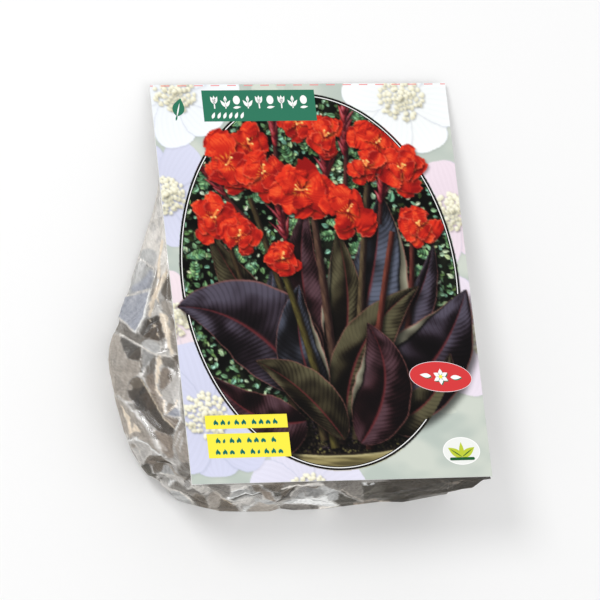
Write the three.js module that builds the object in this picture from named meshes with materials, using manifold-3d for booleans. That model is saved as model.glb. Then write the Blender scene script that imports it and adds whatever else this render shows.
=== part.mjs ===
// A prepacked bag of three rhizomes: a stiff printed card on the front of a clear gusseted
// film bag, which lies on its flat back. Millimetres, +Z up, origin under the middle.
//
// Places are given on the card: "across" from its left edge, "down" from its top edge and
// "depth" behind its printed face.

import * as THREE from 'three';
import { mergeVertices } from 'three/addons/utils/BufferGeometryUtils.js';
import Module from 'manifold-3d';

const wasm = await Module();
wasm.setup();

// Driving dimensions
const CARD_WIDTH = 150;
const CARD_HEIGHT = 200;
const CARD_THICKNESS = 0.8;
const BAG_DEPTH = 50; // card face to back film, at the card's bottom edge
const TOP_DEPTH = 3; // the same at its top edge
const FILM_WALL = 0.9; // film with its fine folds
const GAP = 0.3; // between pieces that touch

// The bag
const SEAL_TOP = 3; // welded band at the top end
const SEAL_MIDDLE = 9;
const SEAL_BOTTOM = 15;
const BAG_BOTTOM = 201;
const FIRST_HOLLOW = SEAL_BOTTOM + 2; // the even sections run from here to here
const LAST_HOLLOW = BAG_BOTTOM - 5;
const BOTTOM_BULGE = 2.5;
const VENT_RADIUS = 3;
const VENT_PUNCH = 6; // deep enough to pass through the back film
const VENTS = [[38, 58], [112, 58]]; // across and down, through the back film
const RINGS = 26;
const FRONT_STEPS = 14;
const SIDE_STEPS = 9;

// The creases of the film: how far they stand in or out, and the down at which the film
// grows slack. Each wave gives its share and the distance between its folds, down and deep,
// or for the bottom the number of folds, across and deep.
const CREASE = 2.1;
const SLACK_FROM = 60;
const SIDE_WAVES = [
  { share: 0.5, down: 21, deep: 17, shift: 0 },
  { share: 0.35, down: 13, deep: -19, shift: 0.3 },
  { share: 0.15, down: 8, deep: 40, shift: 0 },
];
const BOTTOM_WAVES = [
  { share: 0.6, across: 8.5, deep: 1.4, shift: 0 },
  { share: 0.4, across: 5, deep: -2.2, shift: 0.2 },
];

// The bottom corners at the back are not filled, so the film there lies higher.
const LEFT_LIFT = { height: 11, full: -8, none: 28 }; // full and none across
const RIGHT_LIFT = { height: 7, none: 108, full: 150 };
const LIFT_FROM = 165; // down

// The packing of peat and shavings
const PACKING_TOP = 94;
const PACKING_LEAN = 16; // it lies lower at the left side
const LEAN_END = 165; // down, where the lean has faded out
const PACKING_INSET = 3.6;
const PACKING_LIFT_FROM = 150; // down
const PACKING_LUMP = 1.8;
const LUMP_STEP = 11; // mm that stand for one step round a section in the lumps
const LUMP_WAVES = [
  { down: 19, round: 31, shift: 0 },
  { down: -37, round: 17, shift: 0.3 },
];
const TOP_LUMP = { height: 3, across: 4.3, deep: 1 };
const PACKING_RINGS = 12;

// The rhizomes
const POCKET = 0.6; // between a rhizome and the packing
const RING_PITCH = 7.5; // leaf scars along a rhizome
const RING_NECK = 0.93; // radius just before a scar, as a share of the full radius
const RING_SPAN = [-0.3, 0.25]; // from neck to scar, in shares of a ring
const ROUND_END = 0.4; // power that blunts a stretch's ends
const OVERLAP = 0.55; // how far stretches run into each other, in radii
const POCKET_PROFILE = [[0.85, 0], [1, 0.15], [1, 0.85], [0.85, 1]]; // share of radius, along
const STRETCH_SIDES = 10;
const BUD = { start: 0.3, length: 0.85, radius: 0.36, shoulder: 0.8, at: 0.55, sides: 7 };
const ROOT_STUB = 1.8; // how far a cut root stands out
const ROOT_TIP = 0.5;
const ROOT_FOOT = 1.3;
const ROOT_SIDES = 5;
const ROOT_SEAT = { from: 0.2, span: 0.6, deep: 0.7, sunk: 0.3 }; // deep and sunk in radii

const slope = Math.atan((BAG_DEPTH - TOP_DEPTH) / CARD_HEIGHT);
const frontDepth = CARD_THICKNESS + GAP;
const backDepth = (down) => TOP_DEPTH + down * Math.tan(slope);

// Sides of the bag: how far across the film reaches at its front edge, front shoulder,
// gusset fold, back shoulder and back edge.
const SHARES = [0, 0.2, 0.5, 0.8, 1];
const LEFT_SIDE = [
  { down: SEAL_TOP, reach: [4, 4, 4, 4, 4] },
  { down: SEAL_BOTTOM, reach: [4, 3.5, 5, 3.5, 4] },
  { down: 50, reach: [4, 2, 8, 3.5, 7] },
  { down: 80, reach: [4, -1, 3, -7, -2] },
  { down: 108, reach: [3, -8, -9, -19, -13] },
  { down: 125, reach: [3, -15, -24, -26, -18] },
  { down: 150, reach: [3, -14, -24, -22, -12] },
  { down: 178, reach: [3, -9, -16, -16, -7] },
  { down: 191, reach: [4, -4, -9, -9, 0] },
  { down: BAG_BOTTOM, reach: [6, 2, 0, 1, 8] },
];
const RIGHT_SIDE = [
  { down: SEAL_TOP, reach: [146, 146, 146, 146, 146] },
  { down: SEAL_BOTTOM, reach: [146, 146.5, 145, 146.5, 146] },
  { down: 50, reach: [146, 149, 144, 149, 144] },
  { down: 80, reach: [146, 150, 145, 152, 147] },
  { down: 108, reach: [147, 151, 150, 154, 148] },
  { down: 150, reach: [147, 152, 155, 155, 149] },
  { down: 178, reach: [147, 151, 153, 152, 146] },
  { down: 191, reach: [147, 150, 152, 150, 145] },
  { down: BAG_BOTTOM, reach: [147, 148, 148, 146, 142] },
];

// ---------------------------------------------------------------- helpers

// A point on the card's scale, in the lying packet.
function place(across, down, depth) {
  const drop = down * Math.cos(slope) + depth * Math.sin(slope);
  const rise = down * Math.sin(slope) - depth * Math.cos(slope);
  return new THREE.Vector3(across, -drop, rise + TOP_DEPTH * Math.cos(slope));
}

function seeded(seed) {
  let state = seed;
  return () => {
    state = (state * 1664525 + 1013904223) % 4294967296;
    return state / 4294967296;
  };
}

// A wave of straight folds, from -1 to 1.
function fold(x) {
  return 4 * Math.abs(x - Math.round(x)) - 1;
}

function toSolid(geometry) {
  const bare = geometry.clone();
  bare.deleteAttribute('normal');
  bare.deleteAttribute('uv');
  const merged = mergeVertices(bare, 1e-4);
  const index = Array.from(merged.index.array);
  const triVerts = [];
  for (let i = 0; i < index.length; i += 3) {
    const [a, b, c] = index.slice(i, i + 3);
    if (a !== b && b !== c && c !== a) triVerts.push(a, b, c);
  }
  return new wasm.Manifold(new wasm.Mesh({
    numProp: 3,
    vertProperties: new Float32Array(merged.attributes.position.array),
    triVerts: new Uint32Array(triVerts),
  }));
}

function toGeometry(solid) {
  const mesh = solid.getMesh();
  const geometry = new THREE.BufferGeometry();
  geometry.setAttribute('position', new THREE.BufferAttribute(mesh.vertProperties, 3));
  geometry.setIndex(new THREE.BufferAttribute(mesh.triVerts, 1));
  return geometry;
}

function largestBody(solid) {
  const bodies = solid.decompose();
  return bodies.reduce((best, body) => (body.volume() > best.volume() ? body : best));
}

function join(solids) {
  return solids.reduce((all, solid) => all.add(solid));
}

// ---------------------------------------------------------------- the bag's form

function sideCurve(stations) {
  const downs = stations.map((station) => station.down);
  const reaches = stations.flatMap((station) => station.reach);
  return new THREE.CubicInterpolant(downs, reaches, SHARES.length);
}
const leftCurve = sideCurve(LEFT_SIDE);
const rightCurve = sideCurve(RIGHT_SIDE);

// One side of the bag's cross-section, from the front film to the back film.
function sideOutline(curve, down) {
  const reach = Array.from(curve.evaluate(down));
  const back = backDepth(down);
  const points = SHARES.map((share, k) => {
    return new THREE.Vector2(reach[k], THREE.MathUtils.lerp(frontDepth, back, share));
  });
  const outline = new THREE.SplineCurve(points).getPoints(SIDE_STEPS);
  outline.forEach((point) => {
    point.y = THREE.MathUtils.clamp(point.y, frontDepth, back);
  });
  return outline;
}

// The whole cross-section: front film left to right, right side, back film, left side.
function section(down) {
  const left = sideOutline(leftCurve, down);
  const right = sideOutline(rightCurve, down);
  const ring = [];
  for (let i = 0; i < FRONT_STEPS; i += 1) {
    ring.push(left[0].clone().lerp(right[0], i / FRONT_STEPS));
  }
  for (let j = 0; j < SIDE_STEPS; j += 1) ring.push(right[j]);
  for (let i = 0; i < FRONT_STEPS; i += 1) {
    ring.push(right[SIDE_STEPS].clone().lerp(left[SIDE_STEPS], i / FRONT_STEPS));
  }
  for (let j = 0; j < SIDE_STEPS; j += 1) ring.push(left[SIDE_STEPS - j]);
  return ring;
}

const RING_COUNT = 2 * (FRONT_STEPS + SIDE_STEPS);

// Which point of a section lies at step i across and step j deep, on its rim.
function rimIndex(i, j) {
  if (j === 0) return i;
  if (i === FRONT_STEPS) return FRONT_STEPS + j;
  if (j === SIDE_STEPS) return 2 * FRONT_STEPS + SIDE_STEPS - i;
  return (RING_COUNT - j) % RING_COUNT;
}

// A section moved inwards by an even wall.
function insetRing(ring, inset) {
  return ring.map((point, k) => {
    const before = ring[(k + ring.length - 1) % ring.length];
    const after = ring[(k + 1) % ring.length];
    const edgeIn = point.clone().sub(before).normalize();
    const edgeOut = after.clone().sub(point).normalize();
    const inward = new THREE.Vector2(-edgeIn.y - edgeOut.y, edgeIn.x + edgeOut.x);
    const spread = Math.max(0.6, 1 + edgeIn.dot(edgeOut));
    return point.clone().addScaledVector(inward, inset / spread);
  });
}

// How far a point of a side stands out or in, 0 along its front and back edges.
function sideCrease(k, down) {
  const onRight = k - FRONT_STEPS;
  const onLeft = k - 2 * FRONT_STEPS - SIDE_STEPS;
  const step = onLeft > 0 ? onLeft : onRight;
  if (step <= 0 || step >= SIDE_STEPS) return 0;
  const deep = step * backDepth(down) / SIDE_STEPS;
  const waves = SIDE_WAVES.reduce((sum, wave) => {
    return sum + wave.share * fold(down / wave.down + deep / wave.deep + wave.shift);
  }, 0);
  const slack = THREE.MathUtils.smoothstep(down, SEAL_BOTTOM, SLACK_FROM);
  const sense = onLeft > 0 ? -1 : 1;
  return sense * CREASE * slack * waves * Math.sin(Math.PI * step / SIDE_STEPS);
}

// How far a point is lifted off the bottom, more towards the back of the bag.
function cornerLift(across, share) {
  const onRight = THREE.MathUtils.smoothstep(across, RIGHT_LIFT.none, RIGHT_LIFT.full);
  const onLeft = 1 - THREE.MathUtils.smoothstep(across, LEFT_LIFT.full, LEFT_LIFT.none);
  return share * (onLeft * LEFT_LIFT.height + onRight * RIGHT_LIFT.height);
}

// A closed form made of sections, with a lid of quads at each end.
function loft(form) {
  const levels = form.downs.map((down) => insetRing(section(down), form.inset)
    .map((point, k) => form.shape(point, down, k)));
  const first = levels[0];
  const last = levels[levels.length - 1];
  const corners = [];
  const triangle = (a, b, c) => corners.push(...a.toArray(), ...b.toArray(), ...c.toArray());
  const quad = (a, b, c, d) => {
    triangle(a, b, c);
    triangle(a, c, d);
  };
  for (let n = 1; n < levels.length; n += 1) {
    for (let k = 0; k < RING_COUNT; k += 1) {
      const next = (k + 1) % RING_COUNT;
      quad(levels[n - 1][k], levels[n][k], levels[n][next], levels[n - 1][next]);
    }
  }
  const top = (i, j) => lidPoint(first, i, j, form.topLid);
  const bottom = (i, j) => lidPoint(last, i, j, form.bottomLid);
  for (let i = 0; i < FRONT_STEPS; i += 1) {
    for (let j = 0; j < SIDE_STEPS; j += 1) {
      quad(top(i, j), top(i + 1, j), top(i + 1, j + 1), top(i, j + 1));
      quad(bottom(i, j), bottom(i, j + 1), bottom(i + 1, j + 1), bottom(i + 1, j));
    }
  }
  const geometry = new THREE.BufferGeometry();
  geometry.setAttribute('position', new THREE.Float32BufferAttribute(corners, 3));
  return toSolid(geometry);
}

// A point of a lid, spanned between the four stretches of its rim, plus the lid's own relief.
function lidPoint(ring, i, j, relief) {
  const rim = (a, b) => ring[rimIndex(a, b)];
  if (i === 0 || j === 0 || i === FRONT_STEPS || j === SIDE_STEPS) return rim(i, j);
  const s = i / FRONT_STEPS;
  const t = j / SIDE_STEPS;
  const point = rim(i, 0).clone().multiplyScalar(1 - t)
    .addScaledVector(rim(i, SIDE_STEPS), t)
    .addScaledVector(rim(0, j), 1 - s)
    .addScaledVector(rim(FRONT_STEPS, j), s)
    .addScaledVector(rim(0, 0), -(1 - s) * (1 - t))
    .addScaledVector(rim(FRONT_STEPS, 0), -s * (1 - t))
    .addScaledVector(rim(0, SIDE_STEPS), -(1 - s) * t)
    .addScaledVector(rim(FRONT_STEPS, SIDE_STEPS), -s * t);
  return point.add(relief(s, t));
}

function evenDowns(from, to, count) {
  return Array.from({ length: count + 1 }, (_, n) => THREE.MathUtils.lerp(from, to, n / count));
}

// ---------------------------------------------------------------- the bag and its packing

function filmSurface(inset, from, to) {
  const inner = evenDowns(FIRST_HOLLOW, LAST_HOLLOW, RINGS - 1);
  return loft({
    downs: [...from, ...inner, to],
    inset,
    shape: (point, down, k) => {
      const share = (point.y - frontDepth) / (backDepth(down) - frontDepth);
      const low = THREE.MathUtils.smoothstep(down, LIFT_FROM, BAG_BOTTOM);
      const lifted = down - low * cornerLift(point.x, share);
      const depth = Math.min(point.y, backDepth(lifted) - inset);
      return place(point.x + sideCrease(k, down), lifted, depth);
    },
    topLid: () => new THREE.Vector3(),
    bottomLid: (s, t) => {
      const crease = BOTTOM_WAVES.reduce((sum, wave) => {
        return sum + wave.share * fold(s * wave.across + t * wave.deep + wave.shift);
      }, 0);
      const swell = Math.sin(Math.PI * s) * Math.sin(Math.PI * t);
      const out = BOTTOM_BULGE * swell + CREASE * crease * Math.min(1, 3 * swell);
      return place(0, out, 0).sub(place(0, 0, 0));
    },
  });
}

function filmBag() {
  const outer = filmSurface(0, [SEAL_TOP, SEAL_MIDDLE], BAG_BOTTOM);
  const hollow = filmSurface(FILM_WALL, [], BAG_BOTTOM - FILM_WALL);
  const vents = VENTS.map(([across, down]) => {
    const punch = new THREE.CylinderGeometry(VENT_RADIUS, VENT_RADIUS, VENT_PUNCH, 12);
    punch.rotateX(Math.PI / 2);
    const middle = place(across, down, backDepth(down));
    punch.translate(middle.x, middle.y, middle.z);
    return toSolid(punch);
  });
  return largestBody(outer.subtract(hollow).subtract(join(vents)));
}

function packingBed(pockets) {
  const lump = (down, round) => LUMP_WAVES.reduce((product, wave) => {
    return product * fold(down / wave.down + round / wave.round + wave.shift);
  }, 1);
  const bed = loft({
    downs: evenDowns(PACKING_TOP, BAG_BOTTOM - PACKING_INSET - CREASE, PACKING_RINGS),
    inset: PACKING_INSET,
    shape: (point, down, k) => {
      const filled = 1 - THREE.MathUtils.smoothstep(down, PACKING_TOP, LEAN_END);
      const lean = filled * PACKING_LEAN * (1 - point.x / CARD_WIDTH);
      const share = (point.y - frontDepth) / (backDepth(down) - frontDepth);
      const foot = BAG_BOTTOM - PACKING_INSET;
      const low = THREE.MathUtils.smoothstep(down, PACKING_LIFT_FROM, foot);
      const inwards = PACKING_LUMP * (0.5 + 0.5 * lump(down, LUMP_STEP * k));
      const across = THREE.MathUtils.lerp(point.x, CARD_WIDTH / 2, inwards / (CARD_WIDTH / 2));
      return place(across, down + lean - low * cornerLift(point.x, share), point.y);
    },
    topLid: (s, t) => {
      const lumps = fold(s * TOP_LUMP.across + t * TOP_LUMP.deep);
      const out = TOP_LUMP.height * lumps * Math.sin(Math.PI * s) * Math.sin(Math.PI * t);
      return place(0, out, 0).sub(place(0, 0, 0));
    },
    bottomLid: () => new THREE.Vector3(),
  });
  return largestBody(bed.subtract(pockets));
}

// ---------------------------------------------------------------- the rhizomes

function pointed(geometry, from, towards) {
  const direction = towards.clone().sub(from).normalize();
  const turn = new THREE.Quaternion().setFromUnitVectors(new THREE.Vector3(0, 1, 0), direction);
  geometry.applyQuaternion(turn);
  geometry.translate(from.x, from.y, from.z);
  return toSolid(geometry);
}

// A swollen stretch with a stepped scar at each old leaf.
function swollenStretch(from, to, radius, swell) {
  const overlap = radius * OVERLAP;
  const length = from.distanceTo(to) + 2 * overlap;
  const scars = Math.max(3, Math.round(length / RING_PITCH));
  const profile = [new THREE.Vector2(0, -swell)];
  if (swell > 0) {
    POCKET_PROFILE.forEach(([share, along]) => {
      profile.push(new THREE.Vector2(radius * share + swell, length * along));
    });
  }
  for (let n = 0; n < scars && swell === 0; n += 1) {
    const along = (n + 0.5) / scars;
    const full = radius * Math.pow(Math.sin(Math.PI * along), ROUND_END);
    profile.push(new THREE.Vector2(RING_NECK * full, length * (along + RING_SPAN[0] / scars)));
    profile.push(new THREE.Vector2(full, length * (along + RING_SPAN[1] / scars)));
  }
  profile.push(new THREE.Vector2(0, length + swell));
  const stretch = new THREE.LatheGeometry(profile, STRETCH_SIDES);
  const start = from.clone().addScaledVector(to.clone().sub(from).normalize(), -overlap);
  return pointed(stretch, start, to);
}

function bud(from, to, radius, swell) {
  const length = from.distanceTo(to);
  const profile = [
    new THREE.Vector2(0, -1),
    new THREE.Vector2(radius + swell, 0),
    new THREE.Vector2(radius * BUD.shoulder + swell, length * BUD.at),
    new THREE.Vector2(0, length + 2 * swell),
  ];
  return pointed(new THREE.LatheGeometry(profile, BUD.sides), from, to);
}

function rootStub(from, direction, length, swell) {
  const long = length + swell;
  const stub = new THREE.CylinderGeometry(ROOT_TIP + swell, ROOT_FOOT + swell, long, ROOT_SIDES);
  stub.translate(0, long / 2, 0);
  return pointed(stub, from, from.clone().add(direction));
}

// A rhizome: stretches in a row or branching, a bud where one ends, root stubs round it.
function rhizome(plan, swell) {
  const random = seeded(plan.seed);
  const bodies = [];
  plan.stretches.forEach(({ from, to, radius, budAt }) => {
    const a = place(...from);
    const b = place(...to);
    bodies.push(swollenStretch(a, b, radius, swell));
    const axis = b.clone().sub(a).normalize();
    if (budAt) {
      const foot = b.clone().addScaledVector(axis, radius * BUD.start);
      const tip = foot.clone().addScaledVector(axis, radius * BUD.length);
      bodies.push(bud(foot, tip, radius * BUD.radius, swell));
    }
    for (let n = 0; n < plan.rootsEach; n += 1) {
      const side = new THREE.Vector3(random() - 0.5, random() - 0.5, random() - 0.5);
      side.cross(axis).normalize();
      if (side.z > 0) side.negate();
      const seat = a.clone().lerp(b, ROOT_SEAT.from + ROOT_SEAT.span * random());
      seat.addScaledVector(side, radius * ROOT_SEAT.deep);
      bodies.push(rootStub(seat, side, radius * ROOT_SEAT.sunk + ROOT_STUB, swell));
    }
  });
  return join(bodies);
}

const RHIZOMES = [
  {
    seed: 11,
    rootsEach: 2,
    stretches: [
      { from: [-6, 124, 18], to: [18, 113, 15], radius: 9.5 },
      { from: [18, 113, 15], to: [46, 118, 17], radius: 10.5, budAt: true },
      { from: [22, 112, 15], to: [32, 92, 13], radius: 7.5, budAt: true },
    ],
  },
  {
    seed: 23,
    rootsEach: 2,
    stretches: [
      { from: [-7, 149, 21], to: [15, 168, 25], radius: 12.5 },
      { from: [15, 168, 25], to: [42, 183, 28], radius: 13 },
      { from: [42, 183, 28], to: [66, 182, 27], radius: 12, budAt: true },
      { from: [18, 168, 24], to: [34, 148, 21], radius: 10, budAt: true },
    ],
  },
  {
    seed: 37,
    rootsEach: 2,
    stretches: [
      { from: [86, 150, 15.5], to: [108, 166, 15.5], radius: 12 },
      { from: [108, 166, 15.5], to: [126, 173, 17], radius: 12, budAt: true },
      { from: [104, 164, 15], to: [116, 138, 15], radius: 10, budAt: true },
      { from: [88, 152, 15], to: [80, 134, 16], radius: 8.5, budAt: true },
    ],
  },
];

// ---------------------------------------------------------------- materials and assembly

const paper = new THREE.MeshStandardMaterial({ color: 0xd9dbe0, roughness: 0.5, metalness: 0 });
const film = new THREE.MeshStandardMaterial({ color: 0xb4b0aa, roughness: 0.25, metalness: 0 });
const peat = new THREE.MeshStandardMaterial({ color: 0x55463a, roughness: 0.95, metalness: 0 });
const rhizomeSkin = new THREE.MeshStandardMaterial({ color: 0x6f5643, roughness: 0.8, metalness: 0 });

function named(name, geometry, material) {
  const mesh = new THREE.Mesh(geometry, material);
  mesh.name = name;
  return mesh;
}

function frontCard() {
  const sheet = new THREE.BoxGeometry(CARD_WIDTH, CARD_HEIGHT, CARD_THICKNESS);
  const card = named('front_card', sheet, paper);
  card.position.copy(place(CARD_WIDTH / 2, CARD_HEIGHT / 2, CARD_THICKNESS / 2));
  card.rotation.x = -slope;
  return card;
}

const packet = new THREE.Group();
packet.add(frontCard());
packet.add(named('bag_film', toGeometry(filmBag()), film));
RHIZOMES.forEach((plan, n) => {
  packet.add(named(`rhizome_${n + 1}`, toGeometry(rhizome(plan, 0)), rhizomeSkin));
});
const pockets = join(RHIZOMES.map((plan) => rhizome(plan, POCKET)));
packet.add(named('peat_fill', toGeometry(packingBed(pockets)), peat));

// The origin lies on the floor, under the middle of the packet's outline.
const outline = new THREE.Box3().setFromObject(packet);
const middle = outline.getCenter(new THREE.Vector3());
packet.position.set(-middle.x, -middle.y, -outline.min.z);

export default packet;
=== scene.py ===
"""The packet's looks: a clear crumpled film bag of rhizomes in peat behind a printed card."""

import math

import bmesh
import bpy
import numpy as np
from mathutils import Matrix, Vector
from mathutils.geometry import delaunay_2d_cdt


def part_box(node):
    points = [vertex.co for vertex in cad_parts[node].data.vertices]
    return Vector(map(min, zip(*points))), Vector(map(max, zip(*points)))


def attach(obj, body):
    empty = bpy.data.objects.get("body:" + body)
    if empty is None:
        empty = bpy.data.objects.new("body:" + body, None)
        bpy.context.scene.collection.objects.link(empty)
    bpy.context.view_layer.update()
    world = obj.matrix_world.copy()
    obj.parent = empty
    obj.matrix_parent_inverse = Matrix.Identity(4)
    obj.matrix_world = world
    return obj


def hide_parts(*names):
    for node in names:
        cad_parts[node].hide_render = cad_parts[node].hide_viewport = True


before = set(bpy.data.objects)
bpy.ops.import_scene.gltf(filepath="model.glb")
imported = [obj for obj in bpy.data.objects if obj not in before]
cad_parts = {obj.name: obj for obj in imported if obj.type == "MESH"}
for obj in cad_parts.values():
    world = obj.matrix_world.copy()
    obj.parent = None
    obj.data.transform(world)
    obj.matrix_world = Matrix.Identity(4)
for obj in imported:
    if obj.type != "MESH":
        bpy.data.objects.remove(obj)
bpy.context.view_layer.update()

MM = 0.001

# ---------------------------------------------------------------- the card's own measure
# A point is given in millimetres: across from the card's left edge, down from its top edge
# and depth behind its printed face.

CARD_WIDTH = 150.0
CARD_HEIGHT = 200.0
BAG_DEPTH = 50.0        # behind the card's bottom edge
TOP_DEPTH = 3.0         # and behind its top edge
SEAL_TOP = 3.0          # the sealed band, from here
SEAL_BOTTOM = 15.0      # to here
BAG_BOTTOM = 201.0
FRONT_DEPTH = 1.1       # of the film just behind the card

SLOPE = math.atan((BAG_DEPTH - TOP_DEPTH) / CARD_HEIGHT)
card_low, card_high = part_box("front_card")
CORNER_X = card_low[0] / MM
CORNER_Y = card_high[1] / MM
CORNER_Z = card_high[2] / MM - CARD_HEIGHT * math.sin(SLOPE)


def place(across, down, depth):
    """Row-frame metres of points on the card's measure; takes numbers or arrays."""
    x = CORNER_X + across
    y = CORNER_Y - down * math.cos(SLOPE) - depth * math.sin(SLOPE)
    z = CORNER_Z + down * math.sin(SLOPE) - depth * math.cos(SLOPE)
    return np.stack(np.broadcast_arrays(x, y, z), axis=-1) * MM


def back_depth(down):
    """Depth of the flat back film."""
    return TOP_DEPTH + down * math.tan(SLOPE)


# ---------------------------------------------------------------- the camera
# Seen from above and a little to the left. The three directions are the picture's right,
# its down and the way in, on the card's own right, up and outward axes.

FRAME_PIXELS = 600.0
PIXELS_PER_MM = 2.0836
CAMERA_DISTANCE = 3000.0
SENSOR = 36.0
PICTURE_RIGHT = np.array([0.95388, -0.10720, 0.28040])
PICTURE_DOWN = np.array([-0.01740, -0.95220, -0.30500])
CARD_IN_PICTURE = (9.92, -9.52)  # mm from the picture's middle to the card's middle
CLIP_NEAR = 0.1
CLIP_FAR = 20.0


def picture_axes():
    right = PICTURE_RIGHT / np.linalg.norm(PICTURE_RIGHT)
    down = PICTURE_DOWN - right * (PICTURE_DOWN @ right)
    down = down / np.linalg.norm(down)
    return right, down, np.cross(right, down)


def card_direction(vector):
    """Turns a direction on the card's right, up and outward axes into the row frame."""
    tail = place(0.0, 0.0, 0.0)
    head = place(vector[0], -vector[1], -vector[2])
    return (head - tail) / MM


def make_camera():
    right, down, inwards = picture_axes()
    middle = place(CARD_WIDTH / 2, CARD_HEIGHT / 2, 0.0)
    offset = right * CARD_IN_PICTURE[0] + down * CARD_IN_PICTURE[1]
    offset = offset + inwards * CAMERA_DISTANCE
    spot = middle - card_direction(offset) * MM
    data = bpy.data.cameras.new("camera")
    data.sensor_width = SENSOR
    data.lens = SENSOR * PIXELS_PER_MM * CAMERA_DISTANCE / FRAME_PIXELS
    data.clip_start = CLIP_NEAR
    data.clip_end = CLIP_FAR
    camera = bpy.data.objects.new("camera", data)
    bpy.context.collection.objects.link(camera)
    axes = [card_direction(right), -card_direction(down), -card_direction(inwards)]
    turn = Matrix([Vector(axis) for axis in axes]).transposed().to_4x4()
    camera.matrix_world = Matrix.Translation(Vector(spot)) @ turn
    bpy.context.scene.camera = camera


def to_picture(points):
    """Picture pixels of row-frame points, in the 600 by 600 frame."""
    right, down, inwards = picture_axes()
    middle = place(CARD_WIDTH / 2, CARD_HEIGHT / 2, 0.0)
    world = np.stack([card_direction(right), card_direction(down), card_direction(inwards)])
    local = (points - middle) / MM @ world.T + np.array([*CARD_IN_PICTURE, CAMERA_DISTANCE])
    scale = PIXELS_PER_MM * CAMERA_DISTANCE / local[..., 2]
    return FRAME_PIXELS / 2 + local[..., :2] * scale[..., None]


# ---------------------------------------------------------------- helpers

SINES = 6               # in each octave of noise
SINE_SUM = 2.4          # about the most that they add up to
TINY = 1e-9             # less than this is nothing; added, it keeps a division from failing


def smoothstep(x, low, high):
    """0 at low, 1 at high and a soft way between them."""
    t = np.clip((x - low) / (high - low), 0.0, 1.0)
    return t * t * (3.0 - 2.0 * t)


def heading(angle):
    """The step of length 1 in a direction given in radians."""
    return np.array([math.cos(angle), math.sin(angle)])


def quarter_turn(ways):
    """The same steps turned by a quarter of a circle."""
    return np.stack([-ways[..., 1], ways[..., 0]], axis=-1)


def linear(colour):
    """Linear light of an sRGB colour given from 0 to 255."""
    c = np.asarray(colour, float) / 255.0
    return np.where(c <= 0.04045, c / 12.92, ((c + 0.055) / 1.055) ** 2.4)


def new_mesh(name, points, faces, smooth=True, closed=False):
    """A mesh object; a closed one gets its faces turned outwards."""
    mesh = bpy.data.meshes.new(name)
    mesh.from_pydata(np.asarray(points).tolist(), [], [tuple(f) for f in faces])
    mesh.validate()
    mesh.update()
    if closed:
        work = bmesh.new()
        work.from_mesh(mesh)
        bmesh.ops.recalc_face_normals(work, faces=work.faces)
        work.to_mesh(mesh)
        work.free()
    if smooth:
        mesh.polygons.foreach_set("use_smooth", [True] * len(mesh.polygons))
    piece = bpy.data.objects.new(name, mesh)
    bpy.context.collection.objects.link(piece)
    return piece


def mesh_points(piece):
    points = np.empty(len(piece.data.vertices) * 3)
    piece.data.vertices.foreach_get("co", points)
    return points.reshape(-1, 3)


def vertex_normals(piece):
    normals = np.empty(len(piece.data.vertices) * 3)
    piece.data.vertex_normals.foreach_get("vector", normals)
    return normals.reshape(-1, 3)


def set_points(piece, points):
    piece.data.vertices.foreach_set("co", points.ravel())
    piece.data.update()


def set_attribute(piece, name, values):
    layer = piece.data.attributes.new(name, "FLOAT", "POINT")
    layer.data.foreach_set("value", np.asarray(values, dtype=np.float32).ravel())


def set_colours(piece, name, colours):
    layer = piece.data.color_attributes.new(name, "FLOAT_COLOR", "POINT")
    rgba = np.ones((len(colours), 4), dtype=np.float32)
    rgba[:, :3] = colours
    layer.data.foreach_set("color", rgba.ravel())


def noise(points, scale, seed, octaves=3):
    """Smooth repeatable noise from -1 to 1, a sum of sines in random directions."""
    random = np.random.default_rng(seed)
    total = np.zeros(points.shape[:-1])
    reach = 0.0
    for octave in range(octaves):
        strength = 0.5 ** octave
        for _ in range(SINES):
            way = random.normal(size=points.shape[-1])
            way = way / np.linalg.norm(way) * 2.0 ** octave / scale
            total = total + strength * np.sin(2 * math.pi * (points @ way + random.random()))
        reach += strength * SINE_SUM
    return total / reach


class Nodes:
    """A material's node tree, with short calls to add and join nodes."""

    def __init__(self, name):
        self.material = bpy.data.materials.new(name)
        self.material.use_nodes = True
        self.tree = self.material.node_tree
        self.tree.nodes.clear()

    def add(self, kind, links=None, **settings):
        node = self.tree.nodes.new(kind)
        for key, value in settings.items():
            setattr(node, key, value)
        for socket, value in (links or {}).items():
            self.feed(node, socket, value)
        return node

    def feed(self, node, socket, value):
        if isinstance(value, tuple) and isinstance(value[0], bpy.types.Node):
            self.tree.links.new(value[0].outputs[value[1]], node.inputs[socket])
        else:
            node.inputs[socket].default_value = value

    def noise(self, scale, detail, roughness=0.5):
        """Noise on the piece's own generated coordinates, which run from 0 to 1 over it."""
        return self.add("ShaderNodeTexNoise",
                        {"Scale": scale, "Detail": detail, "Roughness": roughness})

    def bumps(self, source, strength, distance):
        """Bumps from a noise node, as high as a distance in metres."""
        return self.add("ShaderNodeBump", {"Strength": strength, "Distance": distance,
                                           "Height": (source, "Fac")})

    def between(self, source, low, high):
        """A noise node's values, moved to lie between two others."""
        return self.add("ShaderNodeMapRange", {"Value": (source, "Fac"), "To Min": low, "To Max": high})

    def body(self, colour, output, roughness, bump, specular=0.5):
        return self.add("ShaderNodeBsdfPrincipled", {
            "Base Color": (colour, output), "Roughness": roughness, "Normal": (bump, "Normal"),
            "Specular IOR Level": specular})

    def ramp(self, source, stops):
        """Colours for a noise node's values; a stop is (value, sRGB colour)."""
        node = self.add("ShaderNodeValToRGB", {"Fac": (source, "Fac")})
        ramp = node.color_ramp
        while len(ramp.elements) < len(stops):
            ramp.elements.new(0.5)
        for element, (position, colour) in zip(ramp.elements, stops):
            element.position = position
            element.color = (*linear(colour), 1.0)
        return node

    def finish(self, shader, output="BSDF"):
        end = self.add("ShaderNodeOutputMaterial")
        self.tree.links.new(shader.outputs[output], end.inputs["Surface"])
        return self.material


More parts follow.
